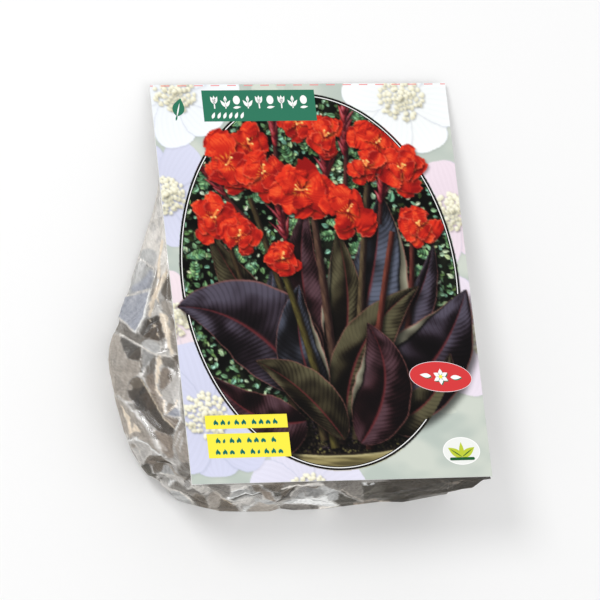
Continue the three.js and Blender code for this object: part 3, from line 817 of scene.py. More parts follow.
# Where it shows them, from the top down: (tone, softness in pixels, outline in the picture's
# pixels). Later patches lie over earlier ones. The glint and cream patches, and most pale ones, are
# painted highlights. Many dark ones are painted shade under folds and on the bottom end, over the
# packing.
PATCHES = [
    # the empty end
    ("pale", 1.5, ((157, 183), (161, 190), (166, 240), (169, 272), (160, 275), (152, 262), (139, 257),
                   (148.8, 223))),
    ("pearl", 0.9, ((158.8, 190), (160, 200), (160.6, 227), (158.8, 227), (156, 204))),
    ("pearl", 1.2, ((151, 221), (155, 224), (157, 230), (155, 232), (147.8, 228))),
    ("pearl", 1, ((157, 238), (161, 235), (161, 241), (156, 245))),
    ("mist", 1.2, ((141.6, 250), (149, 248), (155, 251), (158, 256), (156, 265), (153, 268), (145, 261),
                   (139.6, 258))),
    # the folded gusset
    ("mist", 0.8, ((139.6, 258), (154, 269), (154, 278), (151, 291.5), (141, 293), (126.8, 297),
                   (132, 278))),
    ("steel", 2.5, ((150, 270), (154, 272), (153.5, 280), (151, 291), (132, 294), (131, 286),
                    (140, 282), (146, 276))),
    ("steel", 0.7, ((126.8, 297), (141, 293), (150.8, 292), (145.7, 318), (137, 333), (134.5, 332),
                    (119.7, 318))),
    # beside the gusset
    ("umber", 0.7, ((160.6, 276), (162.6, 280), (161, 287), (157, 297), (155, 295), (158, 284))),
    ("umber", 0.8, ((168, 273), (171, 286), (172.5, 301), (165, 300), (161, 292), (164, 283))),
    ("sand", 0.8, ((160, 299), (172, 301), (174, 316), (167, 315), (163, 312))),
    # painted highlight: cream glints of the lamps on the folds beside the gusset
    ("cream", 0.7, ((163, 275), (166.6, 270), (168, 273), (164, 283), (161, 290), (158.5, 299),
                    (160, 304.5), (156.4, 299), (154, 297))),
    # painted shade in the hollow under the gusset's fold
    ("dark_packing_and_shade", 1.2, ((146.7, 318), (159, 314), (161, 323), (166, 342), (139, 337), (140.6, 332))),
    ("straw", 0.6, ((152.6, 323), (155, 323.4), (155.4, 326), (153, 327))),
    ("straw", 0.6, ((148.6, 319), (150.4, 319), (150, 322))),
    ("straw", 0.6, ((156, 332), (158, 333), (159.6, 337), (157.4, 335.6))),
    ("sand", 0.8, ((170, 316), (175, 316), (178.5, 353), (173, 355), (169, 340))),
    # painted highlight: a cream glint along the fold by the card
    ("cream", 0.7, ((159, 313.7), (163, 313.7), (167, 315.7), (169, 318), (167.5, 325), (171, 331),
                    (170.4, 340), (171.6, 349), (174.6, 354.6), (172, 357), (168, 349), (166, 340),
                    (164, 333), (161, 323))),
    # under the gusset
    ("dun", 0.8, ((113, 328), (119.7, 318.5), (134, 332.5), (138, 334), (148, 336), (152, 340),
                  (143.8, 341), (141, 345), (137, 343), (121, 334.6))),
    ("sand", 1, ((111, 334), (121, 335), (122.4, 345), (125, 354), (130, 359.5), (137, 361),
                 (140.5, 360), (140.5, 373), (134, 377.5), (129, 383), (127, 391), (129, 397),
                 (138.5, 412), (130, 402), (118.5, 396), (113, 397), (107, 361))),
    ("dark_packing_and_shade", 1, ((121, 336), (138, 346.5), (142.3, 349), (140.8, 360.6), (137, 361), (130, 359.5),
                 (125, 354), (122.4, 347), (121, 341))),
    ("umber", 0.6, ((141, 348.5), (142.6, 349), (142.5, 373), (140, 372.5))),
    ("mist", 0.8, ((141, 343), (143.8, 340.3), (150, 340), (157, 343), (161.4, 347), (157.6, 353),
                   (154.5, 355), (149, 352))),
    ("smoke", 0.6, ((143, 349), (154.5, 355.7), (150, 362), (145, 367.5), (143.8, 373), (142, 373),
                    (142.6, 353))),
    ("dun", 0.7, ((154.5, 355.7), (157.6, 356), (155.3, 373), (150, 376), (147, 373), (145.3, 368),
                  (150, 362))),
    ("clay", 0.8, ((147, 373.6), (155.3, 373), (156, 390.5), (163.7, 399), (165, 419), (158, 409),
                   (153, 398), (144.6, 379))),
    ("dark_packing_and_shade", 1.2, ((129, 383), (134, 377.5), (137.7, 376), (142.3, 380), (147, 388), (153, 399),
                   (157.6, 407), (164.5, 419), (176, 429.5), (173.7, 436), (162, 433.4), (154, 428),
                   (145, 419), (137.7, 411), (134, 405), (128.5, 396), (127, 391))),
    ("umber", 1, ((130, 383), (134, 378), (137.7, 377), (142, 380), (144, 385), (138, 388),
                  (133, 389))),
    ("sand", 0.8, ((128.5, 385), (132, 383.6), (133, 387), (131, 390.5), (127, 391))),
    # between it and the card
    ("dun", 0.8, ((160.7, 357), (172, 357.6), (177.5, 368), (165, 367), (162, 362))),
    ("umber", 0.6, ((172, 356.4), (178, 355.3), (178, 367))),
    ("clay", 1, ((160.7, 367.5), (170.6, 368), (173, 377.5), (169, 384), (162, 390), (159, 388))),
    ("umber", 1, ((167.6, 373), (172, 373), (172, 379), (169, 380.5))),
    ("pearl", 1, ((173, 377.5), (178.3, 370), (183, 399), (174, 403.5), (173, 406.6), (170.6, 403),
                  (165, 401), (162, 396), (162, 390.5), (169, 384))),
    ("clay", 0.7, ((166.4, 407), (169, 404), (174, 405), (171.4, 409.6), (166.8, 413.4))),
    ("steel", 0.7, ((166.8, 415), (175, 408), (180.6, 411), (182, 419))),
    ("clay", 0.6, ((165, 416), (180, 420.4), (176.7, 429.5), (165, 420))),
    # painted highlights: cream glints along the folds
    ("cream", 0.6, ((157.6, 357), (160.3, 356.4), (162, 363), (160, 366), (160, 373), (158.4, 382),
                    (157, 385), (158.4, 390.5), (163.7, 398), (160.7, 396.6), (156, 391), (155.3, 379),
                    (156, 368))),
    ("cream", 0.6, ((163, 399.7), (166, 401), (165.4, 413), (163.6, 413))),
    # the fold running down to the bottom corner
    ("sand", 1, ((113, 398), (118.5, 396), (131.6, 416.5), (142, 431), (137.7, 438), (126, 438),
                 (118, 414))),
    ("sand", 1, ((118.5, 396), (125, 401), (131, 408), (138.5, 416), (147, 426.5), (156, 440),
                 (163, 453), (156, 450), (147, 440), (137, 437), (141, 432), (131, 418))),
    ("clay", 1, ((154, 429), (162, 433.4), (173.7, 436), (173, 449), (176, 457), (170, 458), (164, 453),
                 (157, 440))),
    # painted highlight: a cream glint on the fold
    ("cream", 0.7, ((119.7, 405), (122.4, 407), (131, 418), (130, 420.4), (131, 429), (133, 427),
                    (134, 422), (141.5, 430), (141, 432.4), (133, 432), (129, 435), (127.7, 429.5),
                    (125.4, 421), (123, 413))),
    # along the card's lower left
    ("sand", 0.8, ((181, 420), (185, 425.7), (189, 452), (191.5, 464), (182, 463), (177, 453),
                   (173, 441), (175, 436), (177.5, 429))),
    ("clay", 1.4, ((184, 440), (188.5, 450), (190, 459), (185.5, 456.5), (184, 449))),
    ("dun", 1, ((180.6, 464), (190, 461), (192, 472), (185.5, 472), (180.6, 467))),
    ("dun", 0.8, ((178, 464), (180.6, 467), (185.5, 472), (192, 473), (192, 478), (185.5, 482),
                  (180.6, 473.5))),
    # the bottom corner
    # painted highlight along the curved fold, and the milky facets under it
    ("pearl", 0.7, ((128, 441), (134.5, 438.6), (141, 439), (147, 442), (153, 447), (159, 452),
                    (162.4, 454), (154, 453.5), (147, 456.5), (144, 461.4), (140, 466), (135, 454))),
    ("sand", 1, ((131, 443), (135.5, 443), (136, 448), (132, 447))),
    ("umber", 0.7, ((144, 462.6), (147, 457), (154, 454), (162.4, 454.4), (167, 459), (172, 461.4),
                    (173, 463), (168.5, 464), (157.6, 461.4), (156.4, 464), (150, 464))),
    ("clay", 0.8, ((146.7, 461.4), (150, 459), (156.4, 461.4), (153, 464), (151, 467), (148, 464))),
    ("deepest_shade", 0.5, ((157.6, 460.6), (166, 460.6), (173, 463), (172, 464), (166, 463), (159, 462))),
    ("umber", 0.8, ((153, 464), (159, 462), (166, 464.4), (162.4, 467.4), (165, 468.6), (159, 472),
                    (156.4, 473), (153, 470), (151.5, 467))),
    ("slate", 0.8, ((140, 466), (146, 462.6), (149, 465), (150, 468.6), (154, 473), (157.6, 473.5),
                    (153, 483), (149, 482), (142, 474))),
    ("mist", 0.6, ((162.4, 466), (167, 466), (173, 470), (177, 473.5), (157.6, 472), (162.4, 471))),
    ("sand", 0.7, ((165, 464.4), (172, 466), (178, 471), (187, 480), (184, 481), (177, 473.5),
                   (172, 468.6))),
    ("pearl", 0.8, ((166, 473.5), (177, 474), (181, 477), (185.5, 482.6), (184, 486), (179, 483),
                    (176, 481.4), (170, 485), (170, 494), (158, 489), (153, 484))),
    # painted glint
    ("glint", 0.6, ((168, 481), (174.5, 481), (172, 483), (170, 486))),
    ("slate", 0.6, ((153, 483), (159, 479.5), (166, 474.7), (162.4, 478), (157.6, 483))),
    ("dun", 0.8, ((170, 486), (174.5, 482), (178, 482), (183, 484), (188.5, 488.6), (194.5, 488),
                  (200.6, 490.5), (206.7, 494), (207, 498), (210, 511), (199, 507), (193, 503),
                  (187, 495), (180.6, 490.5), (174.5, 489), (170, 489))),
    ("umber", 1.4, ((188.5, 495), (199, 492), (206, 495), (210, 511), (199, 507))),
    ("mist", 0.7, ((170, 490.5), (174.5, 490), (180.6, 492), (187, 498), (193, 504), (184, 505),
                   (176, 500), (169, 495))),
    # painted highlight on the fold round the corner
    ("pale", 0.6, ((189.7, 486), (199, 486), (207, 487.4), (211, 492), (206.7, 493.5), (200.6, 490.5),
                   (194, 487.7))),
    # the bottom end, from the left
    ("dun", 0.8, ((205, 484), (226, 484), (231, 487), (229.5, 495), (225.7, 498.5), (220, 494),
                  (212, 493), (209, 489.6))),
    ("sand", 0.8, ((207, 496), (211, 493), (220, 494.4), (225.7, 498.5), (222, 500.4), (218.7, 505.5),
                   (220, 514), (211, 514), (208.5, 502))),
    ("umber", 0.8, ((220.6, 501), (225.7, 500.4), (231.5, 503.6), (238.5, 510.6), (241, 514),
                    (219, 514), (218.7, 508))),
    ("smoke", 0.6, ((227, 496.6), (232, 491.5), (240, 489), (254, 490), (261.4, 493.4), (260, 495.3),
                    (247.4, 499), (234.6, 501))),
    ("pearl", 0.6, ((234.6, 501), (238.5, 499), (247.4, 498), (254, 499), (247.4, 505.5), (244, 507),
                    (241.7, 512), (237, 505.5))),
    # painted glint
    ("glint", 0.5, ((244, 507.4), (253, 504.6), (247.4, 508.7), (245.5, 512), (242, 512))),
    ("mist", 0.6, ((254, 498.5), (266.5, 497), (276, 501.7), (275, 505.5), (265, 503.3), (257.6, 504),
                   (253, 505), (255, 501.7))),
    ("sand", 0.7, ((245.5, 513), (250, 507.4), (257.6, 504), (266, 503.3), (275.5, 505.5), (279, 508),
                   (273, 512))),
    ("clay", 0.8, ((251, 485), (257, 484), (262, 487.7), (266.5, 489.6), (273, 494.7), (276, 501),
                   (266.5, 496.6), (261.4, 495), (261, 493), (254, 489.6))),
    ("umber", 0.8, ((262, 487), (264.6, 483), (300, 482), (316, 482), (290, 489), (276, 491.5),
                    (271, 489.6))),
    ("slate", 0.6, ((270.4, 489.6), (275.5, 495), (278.7, 494.7), (289.5, 488.3), (280.6, 489.6),
                    (275.5, 491.5))),
    ("dun", 0.6, ((276.7, 501.7), (282, 497), (289.5, 494.7), (291, 498), (279, 502))),
    ("dun", 0.6, ((285, 482), (316.5, 482), (301, 485.7), (294, 487.8), (281, 489))),
    ("umber", 0.6, ((281, 490.5), (297.5, 488.5), (304.6, 486.4), (320.7, 485), (315, 487.8),
                    (303, 488.5), (290.5, 492), (281, 498.5))),
    ("mist", 0.6, ((281, 506), (292, 497), (304, 492), (304.6, 496), (294, 502))),
    # painted highlight on the wrinkled film
    ("glint", 0.6, ((284, 505.7), (294, 500.5), (304.6, 495.5), (312, 494.5), (313.7, 496.6),
                    (325, 493), (327, 496), (328.4, 500), (333, 502), (339, 505.7), (315, 506))),
    ("smoke", 0.6, ((306.7, 490), (320.7, 485.7), (325, 492), (313.7, 495.5), (312, 494),
                    (306, 495.5))),
    ("mist", 0.7, ((320.7, 487), (325, 485.7), (332.6, 488.5), (339, 493.4), (338, 501), (333, 500.5),
                   (329, 500), (327, 495))),
    ("dun", 0.7, ((321, 481), (361, 480), (364, 501), (363, 503), (343, 493.4), (332.6, 488.5),
                  (325, 485.7))),
    ("slate", 0.7, ((339, 493.4), (343, 495), (363, 503), (350, 508), (341, 507), (333, 500.5),
                    (338, 501))),
    ("dun", 0.6, ((280, 506.4), (318.6, 506.4), (319, 513), (280, 513))),
    ("pale", 0.6, ((319, 510), (322, 506), (339, 505.7), (329, 511))),
    # painted shade over the dark packing, on the right of the bottom end
    ("slate", 1, ((361, 480), (500, 473), (500, 484), (466, 500), (401, 512), (362, 510), (364, 501))),
    ("deepest_shade", 6, ((380, 476), (500, 468), (500, 484), (466, 500), (401, 512), (384, 506))),
    # painted glints
    ("glint", 0.5, ((363, 484.3), (366, 482), (367, 485.7), (369, 487), (364, 486.4))),
    ("glint", 0.5, ((370, 485.7), (374, 483.3), (375.4, 484.3), (371, 486.4))),
    # painted glint
    ("cream", 0.6, ((380, 501), (386, 501.5), (384, 504), (380.6, 503.4))),
    ("clay", 0.8, ((452, 483), (460, 482.4), (459, 485), (453, 485.6))),
]
# Painted highlights and painted shadow lines along creases: (tone, half their width, their way).
CREASES = [
    ("pale", 0.5, ((139, 257.6), (146, 263), (154, 269))),
    ("smoke", 0.4, ((140, 259.4), (146, 264.6), (153, 270))),
    ("pale", 0.7, ((127, 296.3), (133.5, 294.3), (141, 292), (151, 291))),
    ("glint", 0.7, ((150.8, 291), (145.7, 318), (137, 333), (133.5, 332))),
    ("pale", 0.5, ((119.7, 318), (134, 332))),
    ("cream", 0.8, ((163, 241), (160, 262), (158, 282), (154, 295), (149.3, 315.7))),
    ("pale", 0.6, ((121, 334.6), (138.5, 345), (147, 350.7), (155, 355), (169, 356.4), (172, 357),
                   (178, 354))),
    ("straw", 0.5, ((142, 380), (153, 399), (164, 418), (176, 429.5))),
    ("pearl", 0.6, ((114, 396), (118.5, 395), (125, 401), (131, 408), (138.5, 416), (147, 427.5),
                    (154.5, 441), (160, 449))),
    ("cream", 0.6, ((166.8, 414), (175, 406.6), (177.5, 401))),
    ("pale", 0.5, ((165, 415), (173, 416.5), (180.6, 418), (181, 420.4))),
    ("glint", 0.8, ((180.6, 420.4), (176.7, 429.5))),
    ("sand", 0.4, ((172, 357), (178.3, 368.3))),
    ("pearl", 0.5, ((180, 432), (176, 446))),
    ("pearl", 0.5, ((183, 438), (180, 452))),
    ("glint", 0.6, ((128, 441), (134.5, 438), (140, 438.6), (147, 442), (153, 447), (158, 451),
                    (162.4, 454))),
    ("pale", 0.5, ((136.5, 443), (139, 454))),
    ("pale", 0.5, ((157.6, 472.6), (166, 473), (177, 474))),
    ("pale", 0.6, ((169.7, 489), (174.5, 489), (180.6, 491), (184, 494), (188.5, 499), (193, 504))),
    ("deepest_shade", 0.5, ((184.8, 481.4), (191.5, 475))),
    ("straw", 0.4, ((222, 500.4), (231, 504.6))),
    ("glint", 0.5, ((232, 490.8), (238.5, 489.2), (243.6, 490))),
    ("glint", 0.6, ((227.6, 497), (231, 497), (241, 495.3), (254, 493.7), (261, 493.4))),
    ("slate", 0.5, ((232, 498.5), (247.4, 496), (261, 495))),
    ("pale", 0.6, ((282, 488.6), (290, 487), (301, 486), (315, 483.6), (320.7, 484.3))),
    ("deepest_shade", 0.6, ((276.4, 501), (279, 499.8), (287, 495.3), (294, 490.6))),
    ("pale", 0.5, ((290, 495.5), (296, 491.3), (303, 488.8))),
    ("sand", 0.4, ((342, 490.6), (350, 494.8), (363.5, 502))),
    ("slate", 0.4, ((342, 492.7), (352, 497.7))),
    ("clay", 0.5, ((354, 504.7), (364, 503.3), (373, 501), (390, 502))),
    ("dark_packing_and_shade", 0.4, ((368, 499), (384, 495), (401, 491), (415, 484))),
    ("dark_packing_and_shade", 0.4, ((386, 481), (396, 486), (412, 489), (434, 492))),
    ("dark_packing_and_shade", 0.4, ((405, 497), (424, 491), (446, 489), (466, 480))),
    ("umber", 0.3, ((440, 480), (446, 484), (455, 484), (462, 481))),
]
PACKING_LIGHT = linear((96, 87, 78))    # what shines through where the film is clear
UNSEEN_TINT = (216, 212, 206)
UNSEEN_MILK = 0.50
UNSEEN_CLOUDS = (0.05, 22, 31)  # strength, size in millimetres and seed
MOTTLES = ((0.14, 2.3, 77), (0.12, 0.9, 78))
EDGE_NOISE = 0.5        # pixels that the patches' edges wander
EDGE_SIZE = 4           # millimetres of one such wave
EDGE_SEEDS = (96, 97)
CREASE_OUT = 0.6        # a crease is gone so many pixels past its half width
CREASE_IN = 0.3         # and begins to fade so many before it
TINT_LIMITS = (0.01, 0.95)
SEEN_SHINE = 0.03       # share of the light that the film mirrors, in the picture's patches
FREE_SHINE = 0.13       # and elsewhere
VENT_MILK = 0.9
FLANK_SUNK = 0.8        # millimetres that the flank's knots lie in, in the mean
ACROSS_TO_FLAT = 0.35   # how the flank and the back are laid flat: share of across
DEPTH_TO_FLAT = 0.5     # and of depth
SQUARE = (0.4, 0.8)     # how squarely the film faces down the card on the bottom end
# Share that the picture's patches take off what lies at random, and off the fold lines.
CALM_SMALL = 0.35
CALM_SMALL_LINES = 0.5
CALM_LINES = 0.6
CALM_MILK = 0.75
# Strength of the painted highlight on the fold lines between facets of each kind.
SMALL_LINES = 0.5
FLANK_LINES = 0.45
END_LINES = 0.35
END_TONES = 0.30        # how far facets of the bottom end differ in brightness
END_TONE_SEED = 75
LARGE_MILK = 0.50       # and large and small facets in milkiness
SMALL_MILK = 0.20
MILK_SEED = 91
LARGE_NUMBERS = 3000    # more than there are facets
SMALL_NUMBERS = 6000
FLANK_NUMBERS = 1000    # added to the numbers of the flank's facets
# The fold lines' painted highlight: its tone, and the film is milkier there.
LINE_HIGHLIGHT_TONE = (240, 238, 232)
LINE_TINT = 0.6         # how far a fold line takes that tone
LINE_MILK = 0.36        # and how much milkier it is
LINE_CLOUDS = (0.3, 9, 95)      # how unevenly it shows: strength, size and seed
MILK_LIMITS = (0.04, 0.95)
CLEAR_FILM = (0.93, 0.93, 0.92)


def flank_facets(points):
    """Facets for the flank and the back, which the picture doesn't show."""
    flat = np.stack([DEPTH_TO_FLAT * points[:, 2] + ACROSS_TO_FLAT * points[:, 0], points[:, 1]],
                    axis=-1)
    return scattered_facets(flat, *FLANK_FOLDS)


def end_facets(points, normals):
    """Facets on the steep bottom end, and how squarely each point lies on it, from 0 to 1."""
    downwards = place(0.0, 1.0, 0.0) - place(0.0, 0.0, 0.0)
    square = normals @ (downwards / np.linalg.norm(downwards))
    return scattered_facets(points[:, [0, 2]], *END_FOLDS), smoothstep(square, *SQUARE)


def film_strokes(at):
    """The patches and creases at places in the picture: (tone, share) for each."""
    for tone, soft, outline in PATCHES:
        yield tone, area_share(at, outline, soft)
    for tone, wide, way in CREASES:
        yield tone, smoothstep(line_distance(at, way), wide + CREASE_OUT, wide - CREASE_IN)


def paint_patches(pixels, measured, shown):
    """Milkiness and colour of the film's milky share, with the patches' painted highlights and shade,
    and where the picture's patches lie.
    """
    wander = np.stack([noise(measured, EDGE_SIZE, seed) for seed in EDGE_SEEDS], axis=-1)
    strength, size, seed = UNSEEN_CLOUDS
    haze = UNSEEN_MILK + strength * noise(measured, size, seed)
    colour = haze[:, None] * linear(UNSEEN_TINT) + (1 - haze)[:, None] * PACKING_LIGHT
    covered = np.zeros(len(pixels))
    for tone, share in film_strokes(pixels + wander * EDGE_NOISE):
        seen, milk = FILM_TONES[tone]
        share = share * shown
        haze = haze + share * (milk - haze)
        colour = colour + share[:, None] * (linear(seen) - colour)
        covered = np.maximum(covered, share)
    mottle = np.ones(len(pixels))
    for strength, size, seed in MOTTLES:
        mottle = mottle + strength * noise(measured, size, seed)
    colour = colour * mottle[:, None]
    tint = (colour - (1 - haze)[:, None] * PACKING_LIGHT) / haze[:, None]
    return haze, np.clip(tint, *TINT_LIMITS), covered


def film_heights(kinds, shown, covered, on_end):
    """How far the film stands out on its facets, in millimetres."""
    seen, small, other, end = (height for height, _, _ in kinds)
    front = seen + small * (1 - CALM_SMALL * covered)
    height = shown * front + (1 - shown) * (other - FLANK_SUNK)
    return height + on_end * (end - END_FOLDS[1])


def film_lines(kinds, shown, covered, on_end):
    """How strongly each point lies on a fold line with a painted highlight, from 0 to 1."""
    seen, small, other, end = (ridge for _, _, ridge in kinds)
    lines = np.maximum(seen * (1 - CALM_LINES * covered),
                       SMALL_LINES * small * (1 - CALM_SMALL_LINES * covered))
    lines = np.where(shown > 0.5, lines, FLANK_LINES * other)
    return np.maximum(lines, END_LINES * end * on_end)


def make_film():
    """The film bag: a smooth surface moved out and in on its facets, and painted."""
    points, faces = bag_surface()
    film = new_mesh("clear_film_bag", place(*points.T), faces, closed=True)
    normals = vertex_normals(film)
    shown = faces_camera(film)
    pixels = to_picture(place(*points.T))
    haze, tint, covered = paint_patches(pixels, points, shown)
    haze = np.maximum(haze, VENT_MILK * vent_rims(points))
    kinds = [seen_facets(pixels), scattered_facets(pixels, *SMALL_FOLDS, PICTURE_SPAN),
             flank_facets(points)]
    end_kind, on_end = end_facets(points, normals)
    kinds.append(end_kind)
    height = film_heights(kinds, shown, covered, on_end) * loose_share(points)
    moved = place(*points.T) + normals * height[:, None] * MM
    set_points(film, place(*keep_in_place(to_card(moved)).T))
    seen, small, other, end = (number for _, number, _ in kinds)
    large = np.where(shown > 0.5, seen, FLANK_NUMBERS + other)
    end_tone = np.random.default_rng(END_TONE_SEED).uniform(-1, 1, end.max() + 2)[end]
    tint = tint * (1 + END_TONES * end_tone * on_end)[:, None]
    lines = film_lines(kinds, shown, covered, on_end)
    paint_film(film, points, haze, tint, 1 - CALM_MILK * covered, large, small, lines)
    set_attribute(film, "shine", SEEN_SHINE + (FREE_SHINE - SEEN_SHINE) * (1 - covered))
    film.data.materials.append(film_material())
    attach(film, "root")
    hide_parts("bag_film")


def paint_film(film, measured, haze, tint, free, large, small, lines):
    """Sets how milky each facet and fold line is, and their tint, with a painted highlight on the fold
    lines.
    """
    random = np.random.default_rng(MILK_SEED)
    haze = haze * (1 + LARGE_MILK * free * random.uniform(-1, 1, LARGE_NUMBERS)[large])
    haze = haze * (1 + SMALL_MILK * free * random.uniform(-1, 1, SMALL_NUMBERS)[small])
    strength, size, seed = LINE_CLOUDS
    crease = lines * loose_share(measured) * (1 - strength + strength * noise(measured, size, seed))
    tint = tint + (LINE_TINT * crease)[:, None] * (linear(LINE_HIGHLIGHT_TONE) - tint)
    set_attribute(film, "haze", np.clip(haze + LINE_MILK * crease, *MILK_LIMITS))
    set_colours(film, "tint", tint)


def film_material():
    """Clear film: see-through, with a milky share where it is creased or lies double, coloured by a
    tint that holds painted highlights and shade.
    """
    n = Nodes("clear_crumpled_film")
    haze = n.add("ShaderNodeAttribute", attribute_name="haze")
    tint = n.add("ShaderNodeAttribute", attribute_name="tint")
    grain = n.noise(900.0, 3.0)
    bump = n.bumps(n.noise(260.0, 4.0, roughness=0.6), 0.25, 0.0004)
    body = n.body(tint, "Color", (n.between(grain, 0.10, 0.24), "Result"), bump, specular=0.0)
    clear = n.add("ShaderNodeBsdfTransparent", {"Color": (*CLEAR_FILM, 1.0)})
    edge = n.add("ShaderNodeLayerWeight", {"Blend": 0.2, "Normal": (bump, "Normal")})
    milky = n.add("ShaderNodeMath", {0: (haze, "Fac"), 1: (edge, "Fresnel")}, operation="ADD",
                  use_clamp=True)
    mix = n.add("ShaderNodeMixShader", {0: (milky, "Value"), 1: (clear, "BSDF"), 2: (body, "BSDF")})
    mirror = n.add("ShaderNodeBsdfGlossy", {
        "Color": (1.0, 1.0, 1.0, 1.0), "Roughness": 0.09, "Normal": (bump, "Normal")})
    shine = n.add("ShaderNodeAttribute", attribute_name="shine")
    coated = n.add("ShaderNodeMixShader", {
        0: (shine, "Fac"), 1: (mix, "Shader"), 2: (mirror, "BSDF")})
    return n.finish(coated, "Shader")


# ---------------------------------------------------------------- what the bag holds

RHIZOME_GRID = 0.8
PEAT_GRID = 1.0
SMOOTHING = 0.5
SMOOTHINGS = 2
RING_STEP = 5.5         # millimetres between the rings round a rhizome
RING_WAVE = 1.2         # millimetres that they wander
RING_EDGE = (0.72, 0.95)
RING_RISE = 0.30
SKIN_DROP = 0.10        # between the rings
# Lumps of a surface: (rise, size, seed). A rhizome's number is added to its seeds.
SKIN_LUMPS = ((0.20, 5, 40), (0.12, 1.4, 50))
PEAT_LUMPS = ((0.45, 6, 60), (0.40, 2.2, 61))
# Tones for rising values of a noise, in sRGB.
SKIN_TONES = [(0.28, (66, 50, 38)), (0.45, (112, 86, 62)), (0.60, (146, 116, 86)),
              (0.78, (188, 160, 126))]
PEAT_TONES = [(0.30, (70, 56, 44)), (0.46, (108, 90, 72)), (0.58, (142, 122, 98)),
              (0.70, (206, 184, 150))]
BOARD_TONES = [(0.3, (226, 228, 226)), (0.7, (240, 241, 240))]


def remeshed_copy(node, name, grid):
    """A finer even mesh on a CAD node's shape."""
    piece = bpy.data.objects.new(name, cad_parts[node].data.copy())
    bpy.context.collection.objects.link(piece)
    piece.data.materials.clear()
    remesh = piece.modifiers.new("remesh", "REMESH")
    remesh.mode = "VOXEL"
    remesh.voxel_size = grid * MM
    remesh.use_smooth_shade = True
    smooth = piece.modifiers.new("smooth", "SMOOTH")
    smooth.factor = SMOOTHING
    smooth.iterations = SMOOTHINGS
    graph = bpy.context.evaluated_depsgraph_get()
    shaped = bpy.data.meshes.new_from_object(piece.evaluated_get(graph))
    piece.modifiers.clear()
    piece.data = shaped
    return piece


def roughen(piece, heights):
    """Moves a mesh's points out by some millimetres."""
    set_points(piece, mesh_points(piece) + vertex_normals(piece) * heights[:, None] * MM)


def dress(piece, node, material):
    piece.data.materials.append(material)
    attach(piece, "root")
    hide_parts(node)


def make_rhizome(index, material):
    """A rhizome with the scars of old leaves in rings round it and a wrinkled skin."""
    node = f"rhizome_{index}"
    piece = remeshed_copy(node, f"canna_rhizome_{index}", RHIZOME_GRID)
    spots = mesh_points(piece) / MM
    middle = spots.mean(axis=0)
    way = np.linalg.svd(spots - middle, full_matrices=False)[2][0]
    along = (spots - middle) @ way + RING_WAVE * noise(spots, 9, 30 + index)
    ring = np.abs(((along / RING_STEP) % 1) - 0.5) * 2
    heights = RING_RISE * smoothstep(ring, *RING_EDGE) - SKIN_DROP
    for rise, size, seed in SKIN_LUMPS:
        heights = heights + rise * noise(spots, size, seed + index)
    roughen(piece, heights)
    dress(piece, node, material)


def make_peat(material):
    """The packing with a crumbly surface."""
    piece = remeshed_copy("peat_fill", "peat_and_shavings", PEAT_GRID)
    spots = mesh_points(piece) / MM
    roughen(piece, sum(rise * noise(spots, size, seed) for rise, size, seed in PEAT_LUMPS))
    dress(piece, "peat_fill", material)


def rhizome_material():
    n = Nodes("rhizome_skin")
    colour = n.ramp(n.noise(110.0, 6.0, roughness=0.65), SKIN_TONES)
    bump = n.bumps(n.noise(900.0, 4.0), 0.5, 0.0006)
    return n.finish(n.body(colour, "Color", 0.72, bump))


def peat_material():
    n = Nodes("peat_crumbs")
    colour = n.ramp(n.noise(420.0, 7.0, roughness=0.7), PEAT_TONES)
    bump = n.bumps(n.noise(1200.0, 5.0), 0.8, 0.001)
    return n.finish(n.body(colour, "Color", 0.9, bump))


# ---------------------------------------------------------------- the card

def dress_card():
    """Gives the card's solid the look of white board, which only its edges and back show."""
    n = Nodes("laminated_board")
    fibre = n.noise(500.0, 5.0)
    colour = n.ramp(fibre, BOARD_TONES)
    body = n.body(colour, "Color", 0.38, n.bumps(fibre, 0.08, 0.0002))
    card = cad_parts["front_card"]
    card.data.materials.clear()
    card.data.materials.append(n.finish(body))


# ---------------------------------------------------------------- the printed side
# A made-up garden picture in an oval, on a ground of large pale flowers. It is painted from
# back to front on a canvas in sRGB colours from 0 to 255, in millimetres from the card's
# top left corner.

DOTS = 5.0              # canvas dots per millimetre
FULL_TURN = 2 * math.pi
OVAL_MIDDLE = np.array([75.0, 100.0])
OVAL_REACH = np.array([70.0, 95.0])
SUN = np.array([-0.48, -0.60, 0.64])    # towards the light: across, down and out of the card
SLOPE_LIMIT = 2.5
LEAST_AREA = 1e-7
ALONG_POINTS = 1.7      # points of a blade to each dot along it
SIDE_POINTS = 2.4       # and across it, so that it has no gaps
RAGGED = (19, 8.3, 37)  # waves along a ragged edge


def oval_share(across, down):
    """1 on the oval's outline, less inside it and more outside."""
    return np.hypot((across - OVAL_MIDDLE[0]) / OVAL_REACH[0],
                    (down - OVAL_MIDDLE[1]) / OVAL_REACH[1])


